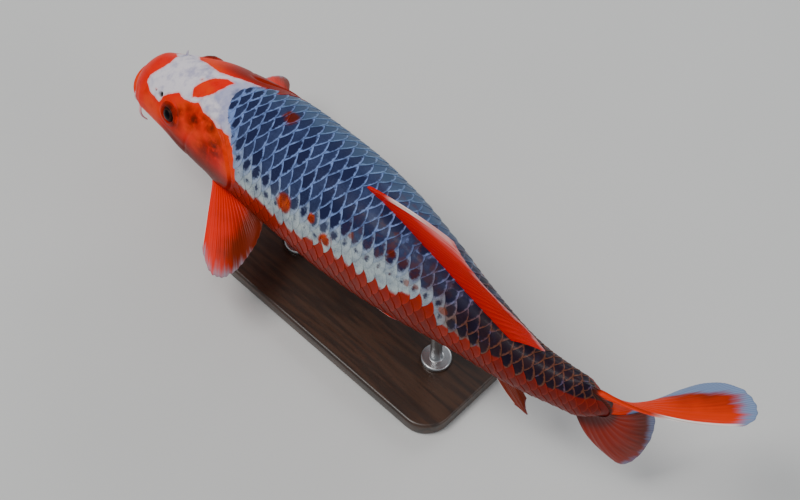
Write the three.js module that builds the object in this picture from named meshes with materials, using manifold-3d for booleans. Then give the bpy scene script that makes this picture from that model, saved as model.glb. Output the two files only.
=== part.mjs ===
// A koi carp as a still, life-size model held over a flat base by two rods.
//
// Millimetres, +Z up. The origin is the middle of the base's underside. The trunk lies along +X
// towards the tail, so the fish's left side faces -Y and its right side faces +Y. The head is
// turned a little to the left and the tail stalk and tail fin bend to the right.
//
// Places on the fish are given as (along, side, height): along is the distance from the snout
// measured on the bent body line, side is towards the fish's right, and height is above that line.

import * as THREE from 'three';
import { mergeVertices } from 'three/addons/utils/BufferGeometryUtils.js';
import Module from 'manifold-3d';

// ---------------------------------------------------------------- driving dimensions

const GAP = 0.3;                 // air between neighbouring solids
const BODY_LINE_HEIGHT = 128;    // body line above the floor
const BALANCE_ALONG = 245;       // the place on the body line that stands over the origin

const HEAD_TURN = 11.5;          // degrees the snout turns to the left of the trunk
const HEAD_TURN_FROM = 25;
const HEAD_TURN_TO = 140;
const STALK_TURN = 11.5;         // degrees the tail stalk turns to the right of the trunk
const STALK_TURN_FROM = 388;
const STALK_TURN_TO = 447;

const BODY_END = 490;            // end of the flesh inside the tail fin
const SNOUT_ROUNDING = 15;       // length over which the snout rounds off
const CHEEK_FULLNESS = 0.09;     // how much the head widens below its middle
const SECTION_FULLNESS = 0.93;   // 1 is an ellipse, less is fuller

// Sections of the body: half width, half height, and lift of the section's middle.
const SECTIONS = [
  { along: 0, width: 23, height: 17, lift: -8 },
  { along: 19, width: 28, height: 23.5, lift: -6.5 },
  { along: 40, width: 34, height: 31, lift: -4 },
  { along: 76, width: 42.5, height: 42, lift: -1.5 },
  { along: 112, width: 45.4, height: 49.5, lift: 0 },
  { along: 160, width: 47.6, height: 58.5, lift: 3 },
  { along: 215, width: 48.2, height: 61.5, lift: 5.5 },
  { along: 260, width: 45, height: 60, lift: 6 },
  { along: 315, width: 36.7, height: 50, lift: 4.4 },
  { along: 355, width: 28.7, height: 40, lift: 2.5 },
  { along: 385, width: 24, height: 33.5, lift: 1 },
  { along: 414, width: 20.2, height: 27.5, lift: 0.5 },
  { along: 440, width: 17, height: 24.5, lift: 0 },
  { along: 468, width: 13.4, height: 23, lift: 0 },
  { along: BODY_END, width: 5, height: 14, lift: 0 },
];

const SIDES = 28;                // corners in one body section
const RING_STEP = 15;            // distance between body sections

// Where the trunk is parted into lengths.
const SHOULDER_END = 208;
const MIDDLE_END = 300;
const TRUNK_END = 388;

// The gill covers and the edge of the head behind them.
const GILL_ALONG = 105;          // station whose direction the gill covers follow
const GILL_INNER_SIDE = 35;      // inner face, out from the middle plane
const GILL_CLEARANCE = 0.35;

// Eyes and nostrils.
const EYE_RADIUS = 8;
const EYE_SINK = 5.2;            // depth of the eyeball's middle below the skin
const EYE_ALONG = 49;
const EYE_ANGLE = 26;            // degrees above the section's widest line
const NOSTRIL_ALONG = 34;
const NOSTRIL_ANGLE = 45;
const NOSTRIL_FLAP = new THREE.Vector3(1.4, 3.4, 6.4);   // thick, wide, tall

// The stand.
const BASE_LENGTH = 250;
const BASE_WIDTH = 116;
const BASE_THICK = 14;
const BASE_CORNER = 24;
const BASE_BEVEL = 2.5;
const ROD_RADIUS = 5;
const ROD_ALONGS = { front: 165, rear: 325 };
const ROD_DEPTH = 12;            // length of rod inside the belly
const ROD_FOOT_RADIUS = 13;
const ROD_FOOT_THICK = 4;

// ---------------------------------------------------------------- materials

function finish(color, roughness, metalness = 0) {
  return new THREE.MeshStandardMaterial({ color, roughness, metalness });
}

const RED_SKIN = finish(0xd8430f, 0.42);
const WHITE_SKIN = finish(0xc9c4cc, 0.4);
const BLUE_SCALES = finish(0x57688c, 0.4);
const DARK_SCALES = finish(0x3a3a50, 0.42);
const RED_FIN = finish(0xe04a1c, 0.48);
const EYE = finish(0x1a1410, 0.08);
const STAND_BASE = finish(0x2a2826, 0.5);
const STAND_ROD = finish(0xb9bbbd, 0.3, 1);

// ---------------------------------------------------------------- small helpers

const radians = THREE.MathUtils.degToRad;
const mix = THREE.MathUtils.lerp;

function ease(from, to, value) {
  const t = THREE.MathUtils.clamp((value - from) / (to - from), 0, 1);
  return t * t * (3 - 2 * t);
}

function softPower(value, power) {
  return Math.sign(value) * Math.abs(value) ** power;
}

// A smooth curve through the sections' values of one key, which never overshoots them.
function alongSections(key) {
  const at = SECTIONS.map((section) => section.along);
  const value = SECTIONS.map((section) => section[key]);
  const last = at.length - 1;
  const slope = [];
  for (let i = 0; i < last; i += 1) slope.push((value[i + 1] - value[i]) / (at[i + 1] - at[i]));
  const tangent = [slope[0]];
  for (let i = 1; i < last; i += 1) {
    const before = at[i] - at[i - 1];
    const after = at[i + 1] - at[i];
    const turns = slope[i - 1] * slope[i] <= 0;
    const weighted = (2 * after + before) / slope[i - 1] + (after + 2 * before) / slope[i];
    tangent.push(turns ? 0 : (3 * (before + after)) / weighted);
  }
  tangent.push(slope[last - 1]);
  return (along) => {
    let i = 0;
    while (i < last - 1 && along > at[i + 1]) i += 1;
    const step = at[i + 1] - at[i];
    const t = THREE.MathUtils.clamp((along - at[i]) / step, 0, 1);
    const rise = t * t * (3 - 2 * t);
    const lead = t * (1 - t) * (1 - t) * tangent[i] - t * t * (1 - t) * tangent[i + 1];
    return mix(value[i], value[i + 1], rise) + lead * step;
  };
}

const halfWidth = alongSections('width');
const halfHeight = alongSections('height');
const lift = alongSections('lift');

// ---------------------------------------------------------------- the body line

function heading(along) {
  const head = HEAD_TURN * (1 - ease(HEAD_TURN_FROM, HEAD_TURN_TO, along));
  const stalk = STALK_TURN * ease(STALK_TURN_FROM, STALK_TURN_TO, along);
  return radians(head + stalk);
}

const LINE_STEP = 1;
const LINE_POINTS = [new THREE.Vector2(0, 0)];
for (let along = LINE_STEP; along <= 700; along += LINE_STEP) {
  const middle = heading(along - LINE_STEP / 2);
  const step = new THREE.Vector2(Math.cos(middle), Math.sin(middle)).multiplyScalar(LINE_STEP);
  LINE_POINTS.push(step.add(LINE_POINTS[LINE_POINTS.length - 1]));
}

// A point on the body line; ahead of the snout it runs on straight.
function bodyLine(along) {
  const i = THREE.MathUtils.clamp(Math.floor(along / LINE_STEP), 0, LINE_POINTS.length - 2);
  const step = LINE_POINTS[i + 1].clone().sub(LINE_POINTS[i]);
  return LINE_POINTS[i].clone().addScaledVector(step, along / LINE_STEP - i);
}

const BALANCE = bodyLine(BALANCE_ALONG);

// The place (along, side, height) in the model's own frame.
function place(along, side, height) {
  const line = bodyLine(along).sub(BALANCE);
  const turn = heading(along);
  return new THREE.Vector3(
    line.x - side * Math.sin(turn),
    line.y + side * Math.cos(turn),
    BODY_LINE_HEIGHT + height,
  );
}

// A frame at a station: X towards the tail, Y towards the fish's right, Z up.
function stationFrame(along) {
  const origin = place(along, 0, 0);
  return new THREE.Matrix4().makeRotationZ(heading(along)).setPosition(origin);
}

// A point of the skin: angle 0 is the fish's right, 90 the back, 180 the left, 270 the belly.
// grow moves the skin outwards.
function skinPoint(along, angle, grow = 0) {
  const inset = THREE.MathUtils.clamp(1 - along / SNOUT_ROUNDING, 0, 1);
  const nose = Math.sqrt(1 - inset * inset);
  const turn = radians(angle);
  const across = softPower(Math.cos(turn), SECTION_FULLNESS);
  const upward = softPower(Math.sin(turn), SECTION_FULLNESS);
  const cheek = 1 - CHEEK_FULLNESS * upward * (1 - ease(90, 150, along));
  const width = halfWidth(along) * nose + grow;
  const height = halfHeight(along) * nose + grow;
  return place(along, width * across * cheek, lift(along) + height * upward);
}

// The outward direction of the skin at a point, from its neighbours.
function skinNormal(along, angle) {
  const lengthways = skinPoint(along + 1, angle).sub(skinPoint(along - 1, angle));
  const around = skinPoint(along, angle + 2).sub(skinPoint(along, angle - 2));
  return lengthways.cross(around).normalize().negate();
}

// ---------------------------------------------------------------- closed shells and cuts

// A closed shell through rings of equal count; flat or pointed ends are closed by fans.
function shellFromRings(rings) {
  const count = rings[0].length;
  const points = rings.flat();
  const triangles = [];
  for (let r = 0; r < rings.length - 1; r += 1) {
    for (let i = 0; i < count; i += 1) {
      const a = r * count + i;
      const b = r * count + ((i + 1) % count);
      triangles.push(a, b, a + count, b, b + count, a + count);
    }
  }
  for (const [r, flip] of [[0, true], [rings.length - 1, false]]) {
    const middle = new THREE.Vector3();
    rings[r].forEach((point) => middle.addScaledVector(point, 1 / count));
    const hub = points.push(middle) - 1;
    for (let i = 0; i < count; i += 1) {
      const a = r * count + i;
      const b = r * count + ((i + 1) % count);
      triangles.push(hub, ...(flip ? [b, a] : [a, b]));
    }
  }
  return closedGeometry(points, triangles);
}

// Geometry with its faces turned outwards.
function closedGeometry(points, triangles) {
  let volume = 0;
  for (let i = 0; i < triangles.length; i += 3) {
    const [a, b, c] = [0, 1, 2].map((k) => points[triangles[i + k]]);
    volume += a.dot(b.clone().cross(c));
  }
  const index = volume < 0 ? [...triangles].reverse() : triangles;
  const geometry = new THREE.BufferGeometry();
  geometry.setAttribute('position', new THREE.Float32BufferAttribute(points.flatMap((p) => p.toArray()), 3));
  geometry.setIndex(index);
  return geometry;
}

const wasm = await Module();
wasm.setup();

function toSolid(geometry) {
  const bare = geometry.clone();
  bare.deleteAttribute('normal');
  bare.deleteAttribute('uv');
  const merged = mergeVertices(bare, 1e-4);
  return new wasm.Manifold(new wasm.Mesh({
    numProp: 3,
    vertProperties: new Float32Array(merged.attributes.position.array),
    triVerts: new Uint32Array(merged.index.array),
  }));
}

function toGeometry(solid) {
  const { vertProperties, triVerts, numProp } = solid.getMesh();
  const geometry = new THREE.BufferGeometry();
  const positions = [];
  for (let i = 0; i < vertProperties.length; i += numProp) {
    positions.push(vertProperties[i], vertProperties[i + 1], vertProperties[i + 2]);
  }
  geometry.setAttribute('position', new THREE.Float32BufferAttribute(positions, 3));
  geometry.setIndex([...triVerts]);
  return geometry;
}

const fish = new THREE.Group();

function add(name, shape, material) {
  const geometry = shape.isBufferGeometry ? shape : toGeometry(shape);
  geometry.computeVertexNormals();
  const mesh = new THREE.Mesh(geometry, material);
  mesh.name = name;
  fish.add(mesh);
}

// ---------------------------------------------------------------- lengths of flesh

function ringAt(along, grow) {
  const ring = [];
  for (let i = 0; i < SIDES; i += 1) ring.push(skinPoint(along, (i * 360) / SIDES, grow));
  return ring;
}

function fleshLength(from, to, grow = 0) {
  const stations = [from];
  if (from === 0) {
    stations[0] = 0.2;
    stations.push(1.2, 3.5, 7);
  }
  const start = stations[stations.length - 1];
  const count = Math.max(1, Math.round((to - start) / RING_STEP));
  for (let i = 1; i <= count; i += 1) stations.push(mix(start, to, i / count));
  return toSolid(shellFromRings(stations.map((along) => ringAt(along, grow))));
}

// A plate cut square through a side outline, between two distances from the middle plane.
function sideCutter(outline, fromSide, toSide, shift = 0) {
  const geometry = new THREE.ExtrudeGeometry(outline, {
    depth: toSide - fromSide,
    bevelEnabled: false,
    curveSegments: 6,
  });
  geometry.rotateX(Math.PI / 2);
  geometry.translate(shift - GILL_ALONG, toSide, 0);
  geometry.applyMatrix4(stationFrame(GILL_ALONG));
  return toSolid(geometry);
}

// The edge between head and shoulder, from back to throat, seen from the side.
function followGillOpening(shape) {
  shape.lineTo(119, 42);
  shape.bezierCurveTo(130, 34, 137, 21, 136.5, 6);
  shape.bezierCurveTo(136, -12, 125, -30, 106, -40);
}

function headOutline() {
  const shape = new THREE.Shape();
  shape.moveTo(-20, 90);
  shape.lineTo(110, 90);
  followGillOpening(shape);
  shape.lineTo(92, -54);
  shape.lineTo(88, -90);
  shape.lineTo(-20, -90);
  shape.closePath();
  return shape;
}

function gillCoverOutline(margin) {
  const shape = new THREE.Shape();
  shape.moveTo(90 - margin, 33 + margin);
  shape.bezierCurveTo(101, 39 + margin, 114, 37 + margin, 121 + margin, 31);
  shape.bezierCurveTo(131 + margin, 23, 134 + margin, 13, 133.5 + margin, 5);
  shape.bezierCurveTo(133 + margin, -12, 121, -28 - margin, 103, -36 - margin);
  shape.bezierCurveTo(94, -38 - margin, 86, -36 - margin, 81 - margin, -30);
  shape.bezierCurveTo(76 - margin, -14, 78 - margin, 16, 90 - margin, 33 + margin);
  return shape;
}

const frontFlesh = fleshLength(0, SHOULDER_END - GAP);
const wholeFleshGrown = fleshLength(0, BODY_END, GAP);
const headBlock = sideCutter(headOutline(), -90, 90);
const headBlockGrown = sideCutter(headOutline(), -90, 90, GILL_CLEARANCE);

let head = frontFlesh.intersect(headBlock);
let shoulder = frontFlesh.subtract(headBlockGrown);
let middle = fleshLength(SHOULDER_END, MIDDLE_END - GAP);
let rear = fleshLength(MIDDLE_END, TRUNK_END - GAP);
const stalk = fleshLength(TRUNK_END, BODY_END);

// ---------------------------------------------------------------- gill covers

for (const [name, sign] of [['left', -1], ['right', 1]]) {
  const reach = [GILL_INNER_SIDE * sign, 90 * sign].sort((a, b) => a - b);
  const slack = [(GILL_INNER_SIDE - GAP) * sign, 90 * sign].sort((a, b) => a - b);
  const cover = sideCutter(gillCoverOutline(0), ...reach).intersect(head);
  head = head.subtract(sideCutter(gillCoverOutline(GILL_CLEARANCE), ...slack));
  add(`gill_cover_${name}`, cover, RED_SKIN);
}

// ---------------------------------------------------------------- mouth

// A round bar along a curve, thinning from one radius to another, with rounded thin ends.
function taperedBar(curve, steps, sides, radiusAt) {
  const frames = curve.computeFrenetFrames(steps, false);
  const rings = [];
  for (let i = 0; i <= steps; i += 1) {
    const t = i / steps;
    const centre = curve.getPointAt(t);
    const radius = radiusAt(t);
    const ring = [];
    for (let k = 0; k < sides; k += 1) {
      const turn = (k / sides) * Math.PI * 2;
      ring.push(centre.clone()
        .addScaledVector(frames.normals[i], Math.cos(turn) * radius)
        .addScaledVector(frames.binormals[i], Math.sin(turn) * radius));
    }
    rings.push(ring);
  }
  return toSolid(shellFromRings(rings));
}

// Each lip is a bar round the front of the snout, from one corner of the mouth to the other.
const LIP_CORNER = { along: 13, side: 20.5 };
const LIPS = {
  upper_lip: { front: -5.2, height: -10.6, corner: -14, radius: 3.2 },
  lower_lip: { front: -1.6, height: -16.8, corner: -15.8, radius: 2.9 },
};

function lipBar({ front, height, corner, radius }, grow) {
  const curve = new THREE.CubicBezierCurve3(
    place(LIP_CORNER.along, -LIP_CORNER.side, corner),
    place(front, -LIP_CORNER.side * 0.82, height),
    place(front, LIP_CORNER.side * 0.82, height),
    place(LIP_CORNER.along, LIP_CORNER.side, corner),
  );
  return taperedBar(curve, 10, 6, (t) => grow + radius * (0.45 + 0.55 * Math.sin(Math.PI * t) ** 0.5));
}

const upperLip = lipBar(LIPS.upper_lip, 0);
const lowerLip = lipBar(LIPS.lower_lip, 0).subtract(lipBar(LIPS.upper_lip, GAP));
head = head.subtract(lipBar(LIPS.upper_lip, GAP)).subtract(lipBar(LIPS.lower_lip, GAP));
add('upper_lip', upperLip, RED_SKIN);
add('lower_lip', lowerLip, RED_SKIN);

// ---------------------------------------------------------------- barbels

const BARBELS = {
  long: {
    root: [13, 19, -14], bend: [15, 33, -18], tip: [20, 24, -36], radius: 1.5, tipRadius: 0.55,
  },
  short: {
    root: [8, 15, -5], bend: [6, 25, -6], tip: [10, 22, -16], radius: 1.0, tipRadius: 0.5,
  },
};

const mouthParts = wholeFleshGrown.add(lipBar(LIPS.upper_lip, GAP)).add(lipBar(LIPS.lower_lip, GAP));

for (const [kind, { root, bend, tip, radius, tipRadius }] of Object.entries(BARBELS)) {
  for (const [name, sign] of [['left', -1], ['right', 1]]) {
    const points = [root, bend, tip].map(([along, side, height]) => place(along, side * sign, height));
    const curve = new THREE.QuadraticBezierCurve3(...points);
    const bar = taperedBar(curve, 6, 6, (t) => mix(radius, tipRadius, t));
    add(`barbel_${kind}_${name}`, bar.subtract(mouthParts), RED_SKIN);
  }
}

// ---------------------------------------------------------------- eyes and nostril flaps

for (const [name, angle] of [['left', 180 - EYE_ANGLE], ['right', EYE_ANGLE]]) {
  const centre = skinPoint(EYE_ALONG, angle).addScaledVector(skinNormal(EYE_ALONG, angle), -EYE_SINK);
  const ball = new THREE.SphereGeometry(EYE_RADIUS, 14, 9).translate(centre.x, centre.y, centre.z);
  const socket = new THREE.SphereGeometry(EYE_RADIUS + GAP, 14, 9).translate(centre.x, centre.y, centre.z);
  head = head.subtract(toSolid(socket));
  add(`eye_${name}`, toSolid(ball), EYE);
}

for (const [name, angle] of [['left', 180 - NOSTRIL_ANGLE], ['right', NOSTRIL_ANGLE]]) {
  const flap = new THREE.SphereGeometry(1, 8, 6);
  flap.scale(NOSTRIL_FLAP.x / 2, NOSTRIL_FLAP.y / 2, NOSTRIL_FLAP.z / 2);
  const outward = skinNormal(NOSTRIL_ALONG, angle);
  const foot = skinPoint(NOSTRIL_ALONG, angle);
  const upright = new THREE.Quaternion().setFromUnitVectors(new THREE.Vector3(0, 0, 1), outward);
  flap.applyQuaternion(upright);
  flap.translate(foot.x, foot.y, foot.z);
  add(`nostril_flap_${name}`, toSolid(flap).subtract(wholeFleshGrown), WHITE_SKIN);
}

// ---------------------------------------------------------------- fins

// A fin is a thin shell about a middle sheet. The sheet runs from its root line (v = 0) to its
// outer edge (v = 1), with u across the rays; bow(u, v) bends it out of its straight rays.
function finSolid({ root, edge, bow, thickness, across, along }) {
  const sheet = (u, v) => root(u).lerp(edge(u), v).add(bow(u, v));
  const sides = [[], []];
  for (let j = 0; j <= along; j += 1) {
    for (let i = 0; i <= across; i += 1) {
      const u = i / across;
      const v = j / along;
      const low = [Math.max(u - 0.02, 0), Math.max(v - 0.02, 0)];
      const high = [Math.min(u + 0.02, 1), Math.min(v + 0.02, 1)];
      const acrossRays = sheet(high[0], v).sub(sheet(low[0], v));
      const alongRay = sheet(u, high[1]).sub(sheet(u, low[1]));
      const normal = acrossRays.cross(alongRay).normalize();
      const half = thickness(u, v) / 2;
      sides[0].push(sheet(u, v).addScaledVector(normal, half));
      sides[1].push(sheet(u, v).addScaledVector(normal, -half));
    }
  }
  const stride = across + 1;
  const total = sides[0].length;
  const triangles = [];
  const quad = (a, b, c, d) => triangles.push(a, b, c, a, c, d);
  for (let j = 0; j < along; j += 1) {
    for (let i = 0; i < across; i += 1) {
      const a = j * stride + i;
      quad(a, a + 1, a + 1 + stride, a + stride);
      quad(a + total, a + stride + total, a + 1 + stride + total, a + 1 + total);
    }
  }
  const rim = [];
  for (let i = 0; i < across; i += 1) rim.push(i);
  for (let j = 0; j < along; j += 1) rim.push(j * stride + across);
  for (let i = across; i > 0; i -= 1) rim.push(along * stride + i);
  for (let j = along; j > 0; j -= 1) rim.push(j * stride);
  rim.forEach((a, k) => {
    const b = rim[(k + 1) % rim.length];
    quad(a, a + total, b + total, b);
  });
  return toSolid(closedGeometry([...sides[0], ...sides[1]], triangles));
}

// An outer edge as one cubic curve through (along, side, height) places.
function edgeCurve(...places) {
  const curve = new THREE.CubicBezierCurve3(...places.map((at) => place(...at)));
  return (u) => curve.getPoint(u);
}

const hump = (v) => 4 * v * (1 - v);

// Thick at the root, thinning quickly to the edge; the leading ray can be stouter.
function finThickness(rootThick, edgeThick, leading = 0) {
  return (u, v) => mix(rootThick, edgeThick, v ** 0.45) + leading * (1 - ease(0, 0.12, u)) * (1 - v * 0.7);
}

const DORSAL_FROM = 241;
const DORSAL_TO = 405;
const dorsalFin = finSolid({
  root: (u) => {
    const along = mix(DORSAL_FROM, DORSAL_TO, u);
    return place(along, mix(2.5, -3, u), lift(along) + halfHeight(along) - 3);
  },
  edge: edgeCurve([341, 1, 90], [366, -2, 81], [404, -5, 64], [438, -6, 48]),
  bow: (u, v) => new THREE.Vector3(0, 0, mix(5, 1.5, u)).multiplyScalar(hump(v)),
  thickness: finThickness(3.4, 0.9, 1.4),
  across: 14,
  along: 5,
});

const ANAL_FROM = 374;
const ANAL_TO = 404;
const analFin = finSolid({
  root: (u) => {
    const along = mix(ANAL_FROM, ANAL_TO, u);
    return place(along, 0, lift(along) - halfHeight(along) + 3);
  },
  edge: edgeCurve([428, -7, -76], [433, -6, -71], [429, -5, -60], [429, -3, -48]),
  bow: (u, v) => new THREE.Vector3(2, -1, -3).multiplyScalar(hump(v) * (1 - u)),
  thickness: finThickness(3, 0.9, 1),
  across: 8,
  along: 5,
});

// The left pectoral fin is spread flat, the right one is lowered and flared forwards.
function pectoralRoot(sign) {
  const middleAngle = sign < 0 ? 221 : -41;
  return (u) => {
    const along = mix(103, 119, u);
    const angle = middleAngle - sign * mix(-5, 5, u);
    return skinPoint(along, angle).addScaledVector(skinNormal(along, angle), -4);
  };
}

const pectoralLeft = finSolid({
  root: pectoralRoot(-1),
  edge: edgeCurve([141, -81, -38], [156, -115, -43], [197, -112, -43], [170, -44, -38]),
  bow: (u, v) => new THREE.Vector3(0, 0, 3.5).multiplyScalar(hump(v))
    .add(new THREE.Vector3(-2.5, -1, 0).multiplyScalar(hump(v) * (1 - u))),
  thickness: finThickness(5, 0.9, 1.2),
  across: 10,
  along: 7,
});

const pectoralRight = finSolid({
  root: pectoralRoot(1),
  edge: edgeCurve([68, 70, -58], [60, 94, -69], [84, 100, -75], [101, 72, -70]),
  bow: (u, v) => new THREE.Vector3(-2, 4, 5).multiplyScalar(hump(v)),
  thickness: finThickness(5, 0.9, 1.2),
  across: 10,
  along: 7,
});

function pelvicFin(sign) {
  return finSolid({
    root: (u) => {
      const along = mix(236, 251, u);
      const angle = 270 + sign * mix(27, 15, u);
      return skinPoint(along, angle).addScaledVector(skinNormal(along, angle), -3.5);
    },
    edge: edgeCurve(
      [292, sign * 17, -64],
      [308, sign * 15, -64],
      [302, sign * 4, -60],
      [283, sign * 3, -58],
    ),
    bow: (u, v) => new THREE.Vector3(0, sign * 2, -3).multiplyScalar(hump(v)),
    thickness: finThickness(4.4, 0.9, 1),
    across: 8,
    along: 6,
  });
}

// The tail fin: two lobes that part at the fork and share the line of the middle rays.
const TAIL_ROOT_TOP = 467;
const TAIL_ROOT_MIDDLE = 483;
const TAIL_ROOT_HALF_HEIGHT = 22;
const LOBE_PARTING = 0.5;

function tailRoot(fromMiddle, sign) {
  const along = mix(TAIL_ROOT_MIDDLE, TAIL_ROOT_TOP, fromMiddle ** 2);
  return place(along, 0, sign * mix(LOBE_PARTING, TAIL_ROOT_HALF_HEIGHT, fromMiddle));
}

const tailUpper = finSolid({
  root: (u) => tailRoot(1 - u, 1),
  edge: edgeCurve([599, 15, 52], [622, 51, 58], [560, 62, 39], [520, 25, 3 + LOBE_PARTING]),
  bow: (u, v) => place(478, 0, 0).sub(place(478, mix(13, 4, u), 0)).multiplyScalar(hump(v)),
  thickness: finThickness(6.5, 0.9, 1.4),
  across: 12,
  along: 9,
});

const tailLower = finSolid({
  root: (u) => tailRoot(1 - u, -1),
  edge: edgeCurve([509, 5, -87], [532, 24, -101], [518, 33, -40], [520, 25, 3 - LOBE_PARTING]),
  bow: (u, v) => place(478, 0, 0).sub(place(478, mix(7, 4, u), 0)).multiplyScalar(hump(v)),
  thickness: finThickness(6.5, 0.9, 1.4),
  across: 11,
  along: 8,
});

const FINS = {
  dorsal_fin: dorsalFin,
  anal_fin: analFin,
  pectoral_fin_left: pectoralLeft,
  pectoral_fin_right: pectoralRight,
  pelvic_fin_left: pelvicFin(-1),
  pelvic_fin_right: pelvicFin(1),
  tail_fin_upper: tailUpper,
  tail_fin_lower: tailLower,
};
for (const [name, solid] of Object.entries(FINS)) add(name, solid.subtract(wholeFleshGrown), RED_FIN);

// ---------------------------------------------------------------- the stand

function roundedRectangle(length, width, corner) {
  const shape = new THREE.Shape();
  const [x, y] = [length / 2, width / 2];
  shape.moveTo(-x + corner, -y);
  shape.lineTo(x - corner, -y);
  shape.absarc(x - corner, -y + corner, corner, -Math.PI / 2, 0);
  shape.lineTo(x, y - corner);
  shape.absarc(x - corner, y - corner, corner, 0, Math.PI / 2);
  shape.lineTo(-x + corner, y);
  shape.absarc(-x + corner, y - corner, corner, Math.PI / 2, Math.PI);
  shape.lineTo(-x, -y + corner);
  shape.absarc(-x + corner, -y + corner, corner, Math.PI, Math.PI * 1.5);
  return shape;
}

const slab = new THREE.ExtrudeGeometry(
  roundedRectangle(BASE_LENGTH - 2 * BASE_BEVEL, BASE_WIDTH - 2 * BASE_BEVEL, BASE_CORNER - BASE_BEVEL),
  {
    depth: BASE_THICK - 2 * BASE_BEVEL,
    bevelEnabled: true,
    bevelSize: BASE_BEVEL,
    bevelThickness: BASE_BEVEL,
    bevelSegments: 1,
    curveSegments: 4,
  },
);
slab.translate(0, 0, BASE_BEVEL);
add('stand_base', toSolid(slab), STAND_BASE);

for (const [name, along] of Object.entries(ROD_ALONGS)) {
  const spot = place(along, 0, 0);
  const bottom = BASE_THICK + GAP;
  const top = BODY_LINE_HEIGHT + lift(along) - halfHeight(along) + ROD_DEPTH;
  const profile = [
    new THREE.Vector2(0, bottom),
    new THREE.Vector2(ROD_FOOT_RADIUS, bottom),
    new THREE.Vector2(ROD_FOOT_RADIUS, bottom + ROD_FOOT_THICK * 0.6),
    new THREE.Vector2(ROD_FOOT_RADIUS - ROD_FOOT_THICK * 0.4, bottom + ROD_FOOT_THICK),
    new THREE.Vector2(ROD_RADIUS, bottom + ROD_FOOT_THICK),
    new THREE.Vector2(ROD_RADIUS, top),
    new THREE.Vector2(0, top),
  ];
  const rod = new THREE.LatheGeometry(profile, 16).rotateX(Math.PI / 2).translate(spot.x, spot.y, 0);
  const bore = new THREE.CylinderGeometry(ROD_RADIUS + 2 * GAP, ROD_RADIUS + 2 * GAP, top + GAP, 16);
  bore.rotateX(Math.PI / 2).translate(spot.x, spot.y, (top + GAP) / 2);
  shoulder = shoulder.subtract(toSolid(bore));
  rear = rear.subtract(toSolid(bore));
  add(`stand_rod_${name}`, toSolid(rod), STAND_ROD);
}

// ---------------------------------------------------------------- the lengths of the body

add('head', head, WHITE_SKIN);
add('shoulder', shoulder, BLUE_SCALES);
add('trunk_middle', middle, BLUE_SCALES);
add('trunk_rear', rear, DARK_SCALES);
add('tail_stalk', stalk, DARK_SCALES);

export default fish;
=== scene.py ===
# The finish of a koi carp, a still life-size museum model on a plain stand.
#
# Lengths are in millimetres until a mesh is made, which is in metres. Places on the fish are
# (along, side, height): the distance from the snout on the bent body line, towards the fish's
# right, and above the line. "round" is the angle round a section in degrees: 0 is the fish's
# right, 90 its back, 180 its left and 270 its belly. "down" is how far round from the back.

import math

import bpy
import numpy as np
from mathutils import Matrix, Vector


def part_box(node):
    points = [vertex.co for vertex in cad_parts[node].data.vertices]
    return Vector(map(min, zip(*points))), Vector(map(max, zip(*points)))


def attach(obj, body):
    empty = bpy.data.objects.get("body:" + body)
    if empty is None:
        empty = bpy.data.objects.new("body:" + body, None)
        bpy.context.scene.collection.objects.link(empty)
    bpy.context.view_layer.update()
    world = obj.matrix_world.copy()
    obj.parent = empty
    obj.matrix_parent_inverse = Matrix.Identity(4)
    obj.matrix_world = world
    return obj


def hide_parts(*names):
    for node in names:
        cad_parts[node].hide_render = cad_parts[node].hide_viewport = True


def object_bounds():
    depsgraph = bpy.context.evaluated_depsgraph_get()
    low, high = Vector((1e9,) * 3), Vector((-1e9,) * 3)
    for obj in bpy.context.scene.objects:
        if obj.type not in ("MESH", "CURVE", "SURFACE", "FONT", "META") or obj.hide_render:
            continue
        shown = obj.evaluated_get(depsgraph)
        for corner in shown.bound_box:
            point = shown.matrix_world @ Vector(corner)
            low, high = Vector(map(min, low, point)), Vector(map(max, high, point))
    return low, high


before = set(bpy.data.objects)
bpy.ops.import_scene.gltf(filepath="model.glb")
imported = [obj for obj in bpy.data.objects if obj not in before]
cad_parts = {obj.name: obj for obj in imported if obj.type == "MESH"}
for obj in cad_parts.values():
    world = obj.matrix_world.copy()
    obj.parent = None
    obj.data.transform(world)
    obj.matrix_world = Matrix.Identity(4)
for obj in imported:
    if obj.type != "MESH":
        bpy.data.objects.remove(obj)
CAD_BOX = [list(corner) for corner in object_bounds()]

METRES = 0.001

# ---------------------------------------------------------------- sizes of the fish

LINE_HEIGHT = 128                # of the body line above the floor
BALANCE_ALONG = 245              # the station that lies over the frame's origin
HEAD_TURN, HEAD_TURN_FROM, HEAD_TURN_TO = 11.5, 25, 140    # degrees, and from where to where
STALK_TURN, STALK_TURN_FROM, STALK_TURN_TO = 11.5, 388, 447
BODY_END = 508
RAYS_FROM = 500                  # where the tail fin's rays leave the flesh on the side line
RAYS_SOONER = 17                 # how much sooner they do at the stalk's upper and lower edges
STALK_HALF_HEIGHT = 23
STALK_THINNED = 0.86             # share of its width that the stalk loses there
SNOUT_ROUNDING = 15
CHEEK_FULLNESS = 0.09            # share by which the head narrows above and widens below
SECTION_FULLNESS = 0.93          # the power of a section's curve: 1 is an ellipse, less is fuller

# Sections of the body: along, half width, half height, and lift of the section's middle.
SECTIONS = np.array([
    (0, 23, 17, -8), (19, 28, 23.5, -6.5), (40, 34, 31, -4), (76, 42.5, 42, -1.5),
    (112, 45.4, 49.5, 0), (160, 47.6, 58.5, 3), (215, 48.2, 61.5, 5.5), (260, 45, 60, 6),
    (315, 36.7, 50, 4.4), (355, 28.7, 40, 2.5), (385, 24, 33.5, 1), (414, 20.2, 27.5, 0.5),
    (440, 17, 24.5, 0), (462, 14.6, 23.8, 0), (488, 12.8, 24.8, 0), (BODY_END, 5, 16, 0),
], float)

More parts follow.
